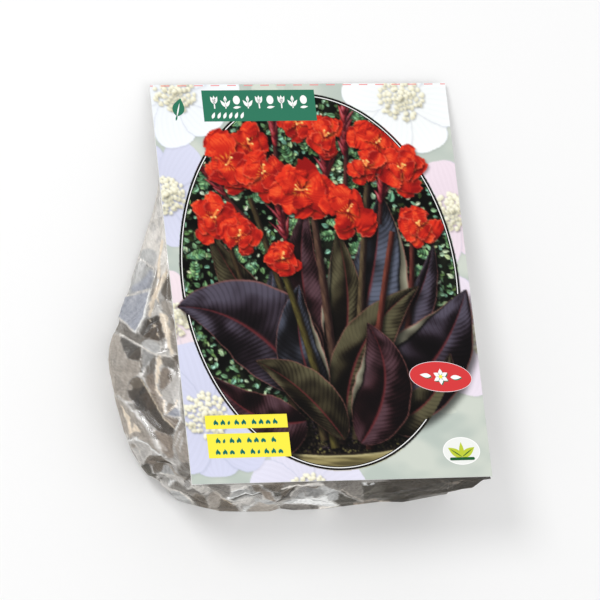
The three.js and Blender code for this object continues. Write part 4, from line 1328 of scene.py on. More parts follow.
class Canvas:
    def __init__(self):
        rows, columns = int(CARD_HEIGHT * DOTS), int(CARD_WIDTH * DOTS)
        self.colour = np.zeros((rows, columns, 3))
        self.over = np.zeros((rows, columns), dtype=bool)
        down, across = np.mgrid[0:rows, 0:columns] / DOTS
        self.across, self.down = across, down
        self.oval = oval_share(across, down) < 1.0
        self.clip = None

    def dots(self, across, down):
        x = np.floor(np.ravel(across) * DOTS).astype(int)
        y = np.floor(np.ravel(down) * DOTS).astype(int)
        rows, columns = self.over.shape
        kept = (x >= 0) & (x < columns) & (y >= 0) & (y < rows)
        if self.clip is not None:
            kept[kept] = self.clip[y[kept], x[kept]]
        return y, x, kept

    def paint(self, shape, colours, over=False):
        y, x, kept = self.dots(shape.across, shape.down)
        colours = np.broadcast_to(colours, (*shape.t.shape, 3)).reshape(-1, 3)
        self.colour[y[kept], x[kept]] = colours[kept]
        if over:
            self.over[y[kept], x[kept]] = True

    def shade(self, shape, move, soft, strength):
        """Darkens what lies under a shape's soft shadow."""
        y, x, kept = self.dots(shape.across + move[0], shape.down + move[1])
        if not kept.any():
            return
        y, x = y[kept], x[kept]
        pad = int(soft * DOTS) + 2
        top, left = y.min() - pad, x.min() - pad
        mask = np.zeros((y.max() + pad - top + 1, x.max() + pad - left + 1))
        mask[y - top, x - left] = 1.0
        mask = box_blur(box_blur(mask, soft * DOTS / 2), soft * DOTS / 2)
        rows, columns = self.over.shape
        y0, x0 = max(top, 0), max(left, 0)
        y1, x1 = min(top + mask.shape[0], rows), min(left + mask.shape[1], columns)
        part = mask[y0 - top:y1 - top, x0 - left:x1 - left]
        if self.clip is not None:
            part = part * self.clip[y0:y1, x0:x1]
        self.colour[y0:y1, x0:x1] *= (1 - strength * part)[..., None]


def box_blur(values, reach):
    """Mean over a square of 2 * reach + 1 dots."""
    size = max(int(round(reach)), 1)
    for axis in (0, 1):
        pad = [(0, 0)] * values.ndim
        pad[axis] = (size + 1, size)
        total = np.cumsum(np.pad(values, pad, mode="edge"), axis=axis)
        ahead = np.take(total, range(2 * size + 1, total.shape[axis]), axis=axis)
        behind = np.take(total, range(0, total.shape[axis] - 2 * size - 1), axis=axis)
        values = (ahead - behind) / (2 * size + 1)
    return values


def blend(first, second, share):
    """Colours between two colours, or two arrays of them."""
    share = np.asarray(share)[..., None]
    return np.asarray(first, float) * (1 - share) + np.asarray(second, float) * share


def bump(x, middle, width):
    """A soft hill of height 1."""
    return np.exp(-((x - middle) / width) ** 2)


class Blade:
    """A leaf or petal on a bent midrib, with a share t along it and a side s from -1 to 1."""

    def __init__(self, start, middle, end, width, outline, ruffle=0.0, sides=(1.0, 1.0), seed=0):
        start, middle, end = (np.array(p, float) for p in (start, middle, end))
        self.length = np.linalg.norm(middle - start) + np.linalg.norm(end - middle)
        self.width = width
        t = np.linspace(0, 1, max(int(self.length * DOTS * ALONG_POINTS), 8))[:, None]
        s = np.linspace(-1, 1, max(int(width * DOTS * SIDE_POINTS), 6))[None, :]
        line = (1 - t) ** 2 * start + 2 * t * (1 - t) * middle + t * t * end
        way = 2 * (1 - t) * (middle - start) + 2 * t * (end - middle)
        way /= np.linalg.norm(way, axis=1, keepdims=True) + TINY
        side = quarter_turn(way)
        phase = seed * 1.7 + 1.1 * np.sign(s)
        first, second, third = (t * wave for wave in RAGGED)
        ragged = np.sin(first + phase) * np.sin(second + 2 * phase) + 0.5 * np.sin(third + phase)
        share = outline(t) * (1 + ruffle * ragged) * np.where(s < 0, sides[0], sides[1])
        self.across = line[:, :1] + side[:, :1] * share * width / 2 * s
        self.down = line[:, 1:] + side[:, 1:] * share * width / 2 * s
        self.t = np.broadcast_to(t, self.across.shape)
        self.s = np.broadcast_to(s, self.across.shape)
        self.half = np.broadcast_to(outline(t) * width / 2, self.across.shape)

    def roundness(self):
        """The height of a round stem or bud of this width."""
        return self.half * np.sqrt(np.clip(1 - self.s ** 2, 0, 1))

    def light(self, height, gloss=8.0):
        """How the relief is lit: plain light and glint, each from 0 to 1."""
        across_t, across_s = np.gradient(self.across)
        down_t, down_s = np.gradient(self.down)
        height_t, height_s = np.gradient(height)
        area = across_t * down_s - across_s * down_t
        area = np.where(np.abs(area) < LEAST_AREA, LEAST_AREA, area)
        slope_across = (height_t * down_s - height_s * down_t) / area
        slope_down = (height_s * across_t - height_t * across_s) / area
        normal = np.stack([-np.clip(slope_across, -SLOPE_LIMIT, SLOPE_LIMIT),
                           -np.clip(slope_down, -SLOPE_LIMIT, SLOPE_LIMIT),
                           np.ones_like(height)], axis=-1)
        normal /= np.linalg.norm(normal, axis=-1, keepdims=True)
        between = SUN + np.array([0.0, 0.0, 1.0])
        between = between / np.linalg.norm(between)
        plain = np.clip(normal @ (SUN / np.linalg.norm(SUN)), 0, 1)
        return plain, np.clip(normal @ between, 0, 1) ** gloss


def leaf_outline_share(t):
    return np.sin(np.pi * np.clip(t, 0, 1) ** 0.72) ** 0.85


def petal_outline_share(t):
    return np.clip(t, 0, 1) ** 0.8 * np.clip(1 - t, 0, 1) ** 0.36 * 1.80


def stem_outline_share(t):
    return 1.0 - 0.35 * t


def bud_outline_share(t):
    return np.sin(np.pi * np.clip(t, 0, 1) ** 0.75)


# ---- the picture in the oval

HEDGE_TONES = [((58, 74, 46), (98, 122, 74), 1500), ((92, 128, 84), (134, 172, 112), 1700),
               ((118, 162, 128), (170, 214, 176), 1400), ((164, 196, 144), (222, 234, 196), 800)]
HEDGE_GROUND = ((14, 16, 12), (48, 56, 40))
HEDGE_SPAN = ((4, 4), (146, 172))
HEDGE_SIZES = (1.5, 3.6)
GAP_NOISE = (26, 201)    # size and seed of the dark gaps
IVY = 30
IVY_SPAN = ((8, 12), (142, 120))
IVY_TONES = ((88, 136, 104), (152, 202, 164))
IVY_SIZES = (4.5, 7.0)
BLUER = np.array([-0.4, 0, 1.0])    # how a hedge leaf's tone may shift
TWIGS = 90
TWIG_SPAN = ((6, 10), (144, 120))
TWIG_TONES = ((78, 124, 84), (162, 206, 150))
TWIG_PAIRS = 7
TWIG_STEP = 1.35         # between two pairs of leaves
TWIG_LEAF = 3.3
TWIG_SPREAD = 0.95       # radians between a twig and its leaves
DEEPEN = 1.12            # power that deepens the picture's colours
DEEPEN_DARK = 0.42       # and how much more it takes from the dark ones
SOIL_GROUND = (30, 24, 25)
SOIL_SPAN = ((10, 161), (140, 192))
CRUMBS = 7000
CRUMB_SIZES = (0.3, 1.3)
CRUMB_NOISE = (12, 212)  # size and seed of the patches of one tone
SOIL_TOP = 163.0
SOIL_WAVE = 2.5          # how far its top rises and falls
SOIL_NOISE = (40, 211)   # size and seed of that
SOIL_TONES = np.array([(24, 19, 20), (44, 34, 36), (72, 58, 54), (104, 92, 62), (142, 134, 84),
                       (92, 74, 96)], float)
EDGING_TOP = 187.0
EDGING_BOW = 4.5         # how much its top rises 40 mm to each side
EDGING_WOOD = ((116, 106, 72), (168, 156, 110))
GRAIN_NOISE = (30, 214)
GRAIN_FINENESS = 7       # how much finer it is down than across
# Its lines: how far under its top, half their width, tone.
EDGING_LINES = ((0, 0.55, (58, 46, 40)), (1.1, 0.5, (190, 180, 136)))


def paint_hedge(canvas, random):
    """Small leaves over black gaps, lighter ones on top, some large ivy-like ones, and twigs."""
    gaps = noise(np.stack([canvas.across, canvas.down], axis=-1), *GAP_NOISE)
    ground = blend(*HEDGE_GROUND, smoothstep(gaps, -0.6, 0.8))
    canvas.colour[canvas.oval] = ground[canvas.oval]
    for dark, light, count in HEDGE_TONES:
        spots = random.uniform(*HEDGE_SPAN, (count, 2))
        spots = spots[noise(spots, *GAP_NOISE) > random.uniform(-1.3, 0.35, count)]
        for spot in spots:
            turn = random.uniform(0, FULL_TURN)
            size = random.uniform(*HEDGE_SIZES)
            paint_hedge_leaf(canvas, spot, turn, size, random, (dark, light))
    for spot in random.uniform(*IVY_SPAN, (IVY, 2)):
        turn = random.uniform(0, FULL_TURN)
        paint_hedge_leaf(canvas, spot, turn, random.uniform(*IVY_SIZES), random, IVY_TONES)
    for spot in random.uniform(*TWIG_SPAN, (TWIGS, 2)):
        paint_twig(canvas, spot, random)


def paint_hedge_leaf(canvas, spot, turn, size, random, tones):
    """One small folded leaf, of a tone between two."""
    way = heading(turn) * size
    bend = spot + way / 2 + random.uniform(-0.15, 0.15, 2) * size
    leaf = Blade(spot, bend, spot + way, size * random.uniform(0.40, 0.70), leaf_outline_share)
    canvas.shade(leaf, *HEDGE_SHADOW)
    plain, glint = leaf.light(leaf.half * (0.9 * np.abs(leaf.s) - 0.5 * leaf.s ** 2))
    tone = blend(*tones, random.uniform()) + random.uniform(-8, 14) * BLUER
    canvas.paint(leaf, tone * (0.50 + 0.62 * plain + 0.25 * glint)[..., None])


def paint_twig(canvas, spot, random):
    """A bent twig with narrow leaves in pairs, like a fern's."""
    turn = random.uniform(0, FULL_TURN)
    bend = random.uniform(-0.14, 0.14)
    for k in range(TWIG_PAIRS):
        step = heading(turn) * TWIG_STEP
        size = TWIG_LEAF * math.sin(math.pi * (k + 1.2) / (TWIG_PAIRS + 1.6))
        for side in (-1, 1):
            paint_hedge_leaf(canvas, spot, turn + side * TWIG_SPREAD, size, random, TWIG_TONES)
        spot = spot + step
        turn += bend


def paint_soil(canvas, random):
    """Dark crumbly ground along the foot of the picture, with a low wooden edging."""
    rise = SOIL_WAVE * noise(canvas.across[..., None], *SOIL_NOISE, octaves=2)
    deep = canvas.oval & (canvas.down > SOIL_TOP + rise)
    canvas.colour[deep] = SOIL_GROUND
    for spot in random.uniform(*SOIL_SPAN, (CRUMBS, 2)):
        size = random.uniform(*CRUMB_SIZES)
        last = len(SOIL_TONES) - 1
        rank = np.clip(noise(spot, *CRUMB_NOISE) * 1.3 + random.uniform(0, last), 0, last)
        way = heading(random.uniform(0, FULL_TURN)) * size
        crumb = Blade(spot, spot + way / 2, spot + way, size * 0.8, bud_outline_share)
        canvas.paint(crumb, SOIL_TONES[int(rank)] * (1.12 - 0.4 * (crumb.s > 0))[..., None])
    bow = EDGING_TOP - EDGING_BOW * ((canvas.across - OVAL_MIDDLE[0]) / 40) ** 2
    rail = canvas.oval & (canvas.down > bow)
    grain = np.stack([canvas.across, (canvas.down - bow) * GRAIN_FINENESS], axis=-1)
    grain = noise(grain, *GRAIN_NOISE)
    wood = blend(*EDGING_WOOD, smoothstep(grain, -0.8, 0.8))
    canvas.colour[rail] = wood[rail]
    for under, half_width, tone in EDGING_LINES:
        canvas.colour[canvas.oval & (np.abs(canvas.down - bow - under) < half_width)] = tone


ROLL_WIDTH = 0.26        # share of a leaf's half width that is turned over
UNDERSIDE = ((70, 66, 56), (168, 166, 146))
RIB_RED = (128, 54, 58)
LEAF_EDGE = (158, 104, 96)
VEIN_STEP = 2.7         # millimetres between the veins
VEIN_SLANT = 3.8        # and how many steps they slant
VEIN_RISE = 0.030
FINE_VEIN_RISE = 0.012
VEIN_WIDTH = 0.12       # share of a step
VEIN_SHADE = 0.12       # how much darker a vein is
EDGE_WAVE = 0.26
ROLL_SIDES = (0, 1, 0, -1)      # the side turned over, one leaf after the other
# The soft shadows: how far they fall to the right and down, how soft, and how dark.
LEAF_SHADOW = ((1.6, 2.6), 3.4, 0.62)
STEM_SHADOW = ((0.9, 1.0), 1.4, 0.55)
PETAL_SHADOW = ((0.6, 1.0), 1.3, 0.36)
BUD_SHADOW = ((0.4, 0.5), 0.7, 0.35)
HEDGE_SHADOW = ((0.3, 0.4), 0.5, 0.55)
PALE_SHADOW = ((0.4, 0.6), 1.0, 0.06)
KNOB_SHADOW = ((0.4, 0.5), 0.6, 0.30)


def leaf_relief(leaf, seed):
    """The height of a folded, waved and veined leaf, and where its veins run: at whole
    numbers."""
    t, s = leaf.t, leaf.s
    run = t * leaf.length / VEIN_STEP - np.abs(s) ** 1.2 * VEIN_SLANT
    veins = VEIN_RISE * np.sin(FULL_TURN * run)
    veins = veins + FINE_VEIN_RISE * np.sin(FULL_TURN * run * 2.3 + seed)
    wave = EDGE_WAVE * np.abs(s) * np.sin(t * 7.5 + 2.2 * seed + 1.4 * np.sign(s))
    fold = (0.50 + 0.10 * math.sin(seed)) * np.abs(s) - 0.42 * s * s
    return leaf.half * (fold + wave) + veins, run


def roll_edge(colour, leaf, side, mottle):
    """Shows a leaf's paler underside where one of its sides is turned over."""
    rim = side * leaf.s - (1 - ROLL_WIDTH * bump(leaf.t, 0.52, 0.26))
    rolled = np.clip(0.30 + 0.9 * rim / ROLL_WIDTH + 0.2 * mottle, 0, 1)
    colour = np.where((rim > 0)[..., None], blend(*UNDERSIDE, rolled), colour)
    return colour * (1 - 0.55 * bump(rim, 0, 0.05) * (rim < 0.02))[..., None]


def paint_leaf(canvas, start, middle, end, width, tone, seed, over=False, sides=(1.0, 1.0)):
    """A bronze leaf: a folded blade with slanting veins, a red rib and a thin pale edge,
    on some leaves turned over on one side."""
    dark, light, sheen = tone
    leaf = Blade(start, middle, end, width, leaf_outline_share, 0.025, sides, seed)
    t, s = leaf.t, leaf.s
    canvas.shade(leaf, *LEAF_SHADOW)
    height, run = leaf_relief(leaf, seed)
    plain, glint = leaf.light(height, gloss=5.0)
    places = np.stack([t * leaf.length / 7, s * 2.0 + seed], axis=-1)
    mottle = noise(places, 2.4, 300 + seed, octaves=2)
    colour = blend(dark, light, np.clip(plain * 1.25 - 0.25 + 0.22 * mottle, 0, 1.15))
    colour = blend(colour, sheen, np.clip(1.25 * glint - 0.42 + 0.25 * mottle, 0, 0.72))
    vein = bump(np.abs(run - np.round(run)), 0, VEIN_WIDTH)
    colour = colour * (1 - VEIN_SHADE * vein * (np.abs(s) > 0.05))[..., None]
    colour = blend(colour, RIB_RED, 0.9 * bump(s, 0, 0.022 + 0.035 * (1 - t)))
    side = ROLL_SIDES[seed % 4]
    if side:
        colour = roll_edge(colour, leaf, side, mottle)
    edge = smoothstep(np.abs(s), 0.955, 0.985)
    canvas.paint(leaf, blend(colour, LEAF_EDGE, 0.75 * edge), over)


def paint_stem(canvas, start, middle, end, width, dark, light, over=False):
    stem = Blade(start, middle, end, width, stem_outline_share)
    canvas.shade(stem, *STEM_SHADOW)
    plain, _ = stem.light(stem.roundness())
    streak = noise(np.stack([stem.t * stem.length / 9, stem.s * 2.5], axis=-1), 1.0, 250)
    colour = blend(dark, light, np.clip(plain * 1.1 - 0.15 + 0.22 * streak, 0, 1))
    canvas.paint(stem, colour, over)


PETAL_CUP = (0.62, 0.75)        # how far a petal is cupped across and along
PETAL_RUFFLE = 0.11
PETAL_VEINS = ((0.0028, 34), (0.0010, 61))      # height and how close they stand
PETAL_GLOSS = 9.0
PETAL_TONES = ((156, 22, 24), (238, 66, 38))
PETAL_SHEEN = (252, 124, 66)
PETAL_RIM = (252, 150, 118)
PETAL_FLECKS = (248, 176, 66)
PETAL_TURN = 0.3        # share of a petal's room that it may be turned
PETAL_LENGTHS = (0.78, 1.16)
PETAL_WIDTHS = (0.78, 1.18)
PETAL_DEPTHS = (0.82, 1.0)      # how light one petal is beside another
PETAL_BEND = 0.6        # where along it a petal bends
PETAL_CURL = 0.28       # and how far it may bend to a side
THROAT_SHIFT = 0.10     # how far the throat of a leaning blossom moves
# The rings of petals: share of the blossom's size, number of petals, how narrow they are.
PETAL_RINGS = ((1.0, 4, 0.40), (0.86, 5, 0.56), (0.55, 3, 0.40))
STAMENS = 3
STALK_TONE = (246, 160, 92)
POLLEN_TONE = (250, 220, 140)
SPIKE_BUDS = 13
FIRST_BUD = 0.45        # share of the stem under the first bud
BUD_SPAN = 0.55         # and over it
BUD_LENGTHS = (5, 12)
BUD_WIDTHS = (1.4, 2.8)
BUD_LEANS = (0.15, 0.6)
SPIKE_STEM = (2.4, (58, 28, 32), (134, 74, 68))     # width, dark and light
BUD_TONES = ((98, 22, 36), (224, 70, 66))
BUD_SHEEN = (226, 178, 196)


def petal_relief(t, s, seed):
    """The height of a cupped, ruffled and veined petal, as a share of its width."""
    (rise, close), (fine_rise, fine_close) = PETAL_VEINS
    cup = PETAL_CUP[0] * s * s * math.cos(seed * 1.3) - PETAL_CUP[1] * (t - 0.45) ** 2
    ruffle = PETAL_RUFFLE * t ** 2 * np.sin(s * 4.5 + 3 * t + seed) * (0.4 + np.abs(s))
    veins = rise * np.sin(s * close + seed) + fine_rise * np.sin(s * fine_close + 4 * t)
    return 0.5 * cup + ruffle + veins


def paint_petal(canvas, start, middle, end, width, seed, depth, over=False):
    """A ruffled scarlet petal with veins along it, deeper in the throat."""
    petal = Blade(start, middle, end, width, petal_outline_share, 0.09, seed=seed)
    t, s = petal.t, petal.s
    canvas.shade(petal, *PETAL_SHADOW)
    plain, glint = petal.light(width * petal_relief(t, s, seed), gloss=PETAL_GLOSS)
    level = np.clip(0.10 + 0.90 * plain - 0.32 * bump(t, 0.0, 0.20), 0, 1)
    colour = blend(*PETAL_TONES, level * depth)
    colour = blend(colour, PETAL_SHEEN, np.clip(glint * 1.2 - 0.52, 0, 0.70))
    rim = smoothstep(np.abs(s), 0.86, 0.97) * (0.5 + 0.5 * math.sin(seed * 2.1))
    colour = blend(colour, PETAL_RIM, 0.55 * rim)
    fleck = bump(t, 0.24, 0.09) * (np.sin(s * 15 + seed) > 0.45)
    canvas.paint(petal, blend(colour, PETAL_FLECKS, 0.75 * fleck), over)


def paint_blossom(canvas, middle, size, turn, squash, seed, over=False):
    """An open blossom that faces a little to one side: back petals, front petals, stamens."""
    random = np.random.default_rng(seed)
    middle = np.array(middle, float)
    lean = np.array([[math.cos(turn), -math.sin(turn)], [math.sin(turn), math.cos(turn)]])
    flatten = lean @ np.diag([1.0, squash]) @ lean.T
    throat = middle + lean @ np.array([0.0, -THROAT_SHIFT * size * (1 - squash)])
    for reach, petals, narrow in PETAL_RINGS:
        first = random.uniform(0, FULL_TURN)
        for k in random.permutation(petals):
            angle = first + (k + random.uniform(-PETAL_TURN, PETAL_TURN)) * FULL_TURN / petals
            length = size / 2 * reach * random.uniform(*PETAL_LENGTHS)
            way = flatten @ heading(angle)
            curl = flatten @ quarter_turn(heading(angle))
            aside = curl * random.uniform(-PETAL_CURL, PETAL_CURL)
            bend = throat + (way * PETAL_BEND + aside) * length
            tip = throat + (way + curl * random.uniform(-PETAL_CURL, PETAL_CURL)) * length
            width = size * narrow * random.uniform(*PETAL_WIDTHS)
            paint_petal(canvas, throat, bend, tip, width, seed + 3.1 * k + 9 * reach,
                        random.uniform(*PETAL_DEPTHS), over)
    for _ in range(STAMENS):
        tip = throat + random.uniform(-1, 1, 2) * size * 0.09 + np.array([0, -size * 0.07])
        stalk = Blade(throat, (throat + tip) / 2, tip, 0.6, stem_outline_share)
        canvas.paint(stalk, STALK_TONE, over)
        head = Blade(tip, tip + (0.4, 0), tip + (0.9, 0.2), 0.8, bud_outline_share)
        canvas.paint(head, POLLEN_TONE, over)


def paint_bud_spike(canvas, foot, top, seed):
    """A stem with narrow buds up to its tip."""
    random = np.random.default_rng(seed)
    foot, top = np.array(foot, float), np.array(top, float)
    middle = (foot + top) / 2 + random.uniform(-2, 2, 2)
    paint_stem(canvas, foot, middle, top, *SPIKE_STEM)
    along = top - foot
    way = along / np.linalg.norm(along)
    for k in range(SPIKE_BUDS):
        spot = foot + along * (FIRST_BUD + BUD_SPAN * k / (SPIKE_BUDS - 1))
        side = quarter_turn(way) * (1 if k % 2 else -1) * random.uniform(*BUD_LEANS)
        tip = spot + (way + side) * random.uniform(*BUD_LENGTHS)
        width = random.uniform(*BUD_WIDTHS)
        bud = Blade(spot, spot + way * 4 + side, tip, width, bud_outline_share)
        canvas.shade(bud, *BUD_SHADOW)
        plain, glint = bud.light(bud.roundness())
        colour = blend(*BUD_TONES, np.clip(plain + random.uniform(-0.3, 0.1), 0, 1))
        canvas.paint(bud, blend(colour, BUD_SHEEN, 0.65 * glint))


# Leaf tones: in the shade, in the light, and their sheen.
PURPLE = ((26, 17, 24), (78, 58, 72), (120, 118, 136))
BRONZE = ((28, 20, 17), (84, 74, 48), (130, 126, 98))
STEEL = ((27, 25, 32), (74, 76, 86), (128, 136, 158))
WINE = ((30, 14, 19), (88, 42, 48), (124, 98, 108))

# A leaf: foot, bend, tip, width, tone, share of the width on each side of its rib.
BACK_LEAVES = [
    ((70, 140), (36, 116), (22, 74), 25, BRONZE, (1.0, 0.8)),
    ((84, 138), (104, 104), (110, 56), 34, STEEL, (0.7, 1.2)),
    ((72, 138), (60, 100), (72, 62), 19, WINE, (1.0, 1.0)),
    ((80, 140), (92, 116), (86, 74), 24, BRONZE, (1.1, 0.7)),
    ((92, 140), (124, 122), (134, 82), 20, PURPLE, (0.6, 1.1)),
    ((64, 144), (44, 128), (52, 92), 17, STEEL, (0.8, 1.0)),
]
MIDDLE_LEAVES = [
    ((64, 158), (40, 112), (2, 112), 48, PURPLE, (0.75, 1.1)),
    ((92, 166), (132, 150), (148, 106), 44, PURPLE, (1.05, 0.85)),
    ((80, 170), (84, 128), (124, 104), 30, BRONZE, (0.8, 1.0)),
    ((70, 166), (56, 134), (64, 102), 27, STEEL, (1.0, 0.8)),
]
FRONT_LEAVES = [
    ((60, 170), (34, 176), (14, 146), 31, WINE, (1.15, 0.8)),
    ((100, 172), (126, 168), (136, 138), 24, BRONZE, (0.7, 1.1)),
    ((78, 180), (60, 150), (38, 140), 23, BRONZE, (0.6, 1.15)),
    ((86, 182), (112, 152), (96, 122), 31, WINE, (1.0, 0.9)),
]
# A stem: foot, bend, top, width, dark and light colour.
STEMS = [
    ((68, 180), (62, 130), (44, 58), 4.0, (48, 32, 28), (124, 112, 72)),
    ((84, 180), (92, 120), (104, 52), 4.2, (52, 34, 32), (132, 116, 84)),
    ((76, 182), (78, 120), (74, 46), 4.6, (56, 34, 34), (134, 104, 84)),
    ((60, 178), (40, 124), (30, 76), 3.2, (54, 36, 30), (116, 100, 66)),
    ((98, 178), (120, 128), (124, 74), 3.4, (62, 28, 28), (142, 76, 66)),
]
NEAR_STEMS = [
    ((73, 184), (68, 140), (54, 84), 4.2, (58, 48, 28), (132, 124, 66)),
    ((90, 185), (94, 150), (114, 76), 3.8, (70, 30, 28), (150, 84, 68)),
]
# A blossom: middle, size, turn, squash, stands out over the frame.
BLOSSOMS = [
    ((72, 21), 24, 0.4, 0.72, False), ((85, 27), 23, 2.0, 0.80, False),
    ((46, 30), 26, 2.6, 0.78, False), ((34, 41), 31, 1.1, 0.72, True),
    ((52, 46), 28, 0.3, 0.80, False), ((111, 31), 28, 0.7, 0.76, False),
    ((122, 44), 27, 1.6, 0.84, True), ((104, 42), 22, 2.3, 0.66, False),
    ((70, 55), 34, 0.1, 0.84, False), ((24, 67), 26, 2.0, 0.72, True),
    ((37, 77), 23, 0.9, 0.76, False), ((92, 66), 29, 0.9, 0.78, False),
    ((128, 74), 24, 0.2, 0.74, True), ((56, 89), 21, 1.4, 0.74, False),
]
SPIKES = [((60, 50), (60, 10)), ((92, 58), (97, 12)), ((44, 72), (18, 38)),
          ((108, 72), (112, 50)), ((84, 60), (84, 36)), ((62, 96), (58, 62))]


OVER_FRAME = 2          # of the middle leaves, the first ones stand out over the frame


def paint_picture(canvas):
    """The picture, from back to front. Each group of leaves and flowers has its own seeds."""
    random = np.random.default_rng(220)
    canvas.clip = canvas.oval
    paint_hedge(canvas, random)
    paint_soil(canvas, random)
    for seed, (*line, tone, sides) in enumerate(BACK_LEAVES):
        paint_leaf(canvas, *line, tone, seed, sides=sides)
    for stem in STEMS:
        paint_stem(canvas, *stem)
    for seed, (*line, tone, sides) in enumerate(MIDDLE_LEAVES):
        over = seed < OVER_FRAME
        canvas.clip = None if over else canvas.oval
        paint_leaf(canvas, *line, tone, 10 + seed, over=over, sides=sides)
    canvas.clip = canvas.oval
    for stem in NEAR_STEMS:
        paint_stem(canvas, *stem)
    for seed, (*line, tone, sides) in enumerate(FRONT_LEAVES):
        paint_leaf(canvas, *line, tone, 20 + seed, sides=sides)
    for seed, (foot, top) in enumerate(SPIKES):
        paint_bud_spike(canvas, foot, top, 30 + seed)
    for seed, (middle, size, turn, squash, over) in enumerate(BLOSSOMS):
        canvas.clip = None if over else canvas.oval
        paint_blossom(canvas, middle, size, turn, squash, 40 + 7 * seed, over)
    canvas.clip = None
    painted = canvas.oval | canvas.over
    share = np.clip(canvas.colour[painted], 0, 255) / 255
    value = share.max(axis=1, keepdims=True) + 0.01
    canvas.colour[painted] = 255 * share ** DEEPEN * value ** (DEEPEN_DARK * (1 - value))


# ---- the pale flowers round the oval

# A flower: middle, size, turn, petals, petal colour.
BORDER_FLOWERS = [
    ((146, 66), 56, 0.1, 7, (238, 222, 232)),
    ((150, 128), 62, 0.8, 7, (234, 224, 236)),
    ((-2, 118), 54, 0.2, 7, (240, 224, 230)),
    ((58, 206), 62, 1.2, 8, (226, 224, 240)),
    ((2, 56), 56, 0.5, 8, (214, 216, 236)),
    ((126, 8), 66, 0.3, 8, (247, 250, 250)),
    ((12, 4), 60, 0.9, 8, (242, 246, 250)),
    ((10, 166), 68, 0.6, 8, (212, 214, 236)),
]
CREAM = ((226, 220, 190), (252, 250, 230))
PALE_EDGE = (176, 184, 206)
PALE_TURN = 0.12        # share of a petal's room that it may be turned
PALE_LENGTHS = (0.88, 1.1)
PALE_WIDTH = 0.40       # share of the flower's size
PALE_VEINS = ((0.008, 24), (0.006, 57))     # how light and how close
PALE_LIGHTS = (0.975, 0.03)     # a petal's light at its foot, and how much more at its tip
KNOB_REACH = 0.036      # share of the flower's size from ring to ring
KNOB_SIZES = (2.2, 3.4)
KNOB_HEIGHT = 0.8       # share of a full round
KNOB_RINGS = (4, 3, 2, 1, 0)    # from the outermost in
BORDER_GROUND = ((186, 196, 188), (206, 212, 202))
BORDER_LEAF_TONES = ((184, 194, 186), (216, 222, 210))
BORDER_LEAVES = 22
BORDER_SPAN = ((-5, -5), (155, 205))


def paint_pale_flower(canvas, middle, size, turn, petals, colour, seed):
    """Broad flat petals with faint veins, and a chunky cream middle."""
    random = np.random.default_rng(seed)
    (light, close), (fine_light, fine_close) = PALE_VEINS
    middle = np.array(middle, float)
    for k in random.permutation(petals):
        angle = turn + FULL_TURN * (k + random.uniform(-PALE_TURN, PALE_TURN)) / petals
        way = heading(angle)
        curl = quarter_turn(way)
        length = size / 2 * random.uniform(*PALE_LENGTHS)
        bend = middle + way * length / 2 + curl * random.uniform(-3, 3)
        petal = Blade(middle, bend, middle + way * length + curl * random.uniform(-2, 2),
                      size * PALE_WIDTH, petal_outline_share, 0.02, seed=k)
        canvas.shade(petal, *PALE_SHADOW)
        fine = light * np.sin(petal.s * close + 3 * petal.t + k)
        fine = fine + fine_light * np.sin(petal.s * fine_close + k)
        light_here = PALE_LIGHTS[0] + PALE_LIGHTS[1] * petal.t + fine
        tone = np.array(colour, float) * light_here[..., None]
        tone = blend(tone, PALE_EDGE, 0.40 * smoothstep(np.abs(petal.s), 0.96, 0.985))
        canvas.paint(petal, np.clip(tone, 0, 252))
    for ring in KNOB_RINGS:
        count = 4 + 5 * ring
        for k in range(count):
            angle = FULL_TURN * (k + 0.5 * (ring % 2)) / count + random.uniform(-0.2, 0.2)
            reach = size * KNOB_REACH * (ring + 0.3) * random.uniform(0.9, 1.1)
            paint_knob(canvas, middle + heading(angle) * reach, random)


def paint_knob(canvas, spot, random):
    """One cream bead of a flower's middle."""
    size = random.uniform(*KNOB_SIZES)
    way = heading(random.uniform(0, math.pi)) * size / 2
    knob = Blade(spot - way, spot, spot + way, size * 0.8, bud_outline_share)
    canvas.shade(knob, *KNOB_SHADOW)
    plain, _ = knob.light(knob.roundness() * KNOB_HEIGHT)
    canvas.paint(knob, blend(*CREAM, np.clip(plain * 1.3 - 0.1, 0, 1)))


def paint_border(canvas):
    """A pale grey-green ground with broad leaves, and the pale flowers on it."""
    places = np.stack([canvas.across, canvas.down], axis=-1)
    canvas.colour[:] = blend(*BORDER_GROUND, smoothstep(noise(places, 34, 231), -0.8, 0.8))
    random = np.random.default_rng(233)
    for start in random.uniform(*BORDER_SPAN, (BORDER_LEAVES, 2)):
        way = heading(random.uniform(0, FULL_TURN)) * random.uniform(16, 34)
        leaf = Blade(start, start + way / 2 + random.uniform(-4, 4, 2), start + way,
                     random.uniform(8, 15), leaf_outline_share)
        tone = blend(*BORDER_LEAF_TONES, random.uniform())
        vein = bump(leaf.s, 0, 0.05)
        canvas.paint(leaf, tone * (1.0 + 0.03 * vein - 0.025 * (leaf.s > 0))[..., None])
    for seed, flower in enumerate(BORDER_FLOWERS):
        paint_pale_flower(canvas, *flower, seed=240 + seed)


# ---- the print on the card: two fine sheets of colour, and crisp flat shapes over them

PRINT_COLUMNS = 312
PRINT_ROWS = 416
PRINT_INSET = 0.02
PRINT_LIFT = 0.02       # millimetres that the ink stands before the card's face
LAYER_LIFT = 0.012

INK_BLACK = (22, 20, 20)
INK_WHITE = (250, 250, 248)
INK_GREEN = (48, 119, 93)
INK_TEAL = (20, 116, 104)
INK_PALE_RIM = (236, 222, 226)
INK_YELLOW = (250, 236, 72)
INK_RED = (214, 60, 62)
INK_DASH = (238, 150, 150)
INK_LIME = (190, 205, 60)
INK_DARK_GREEN = (24, 92, 48)


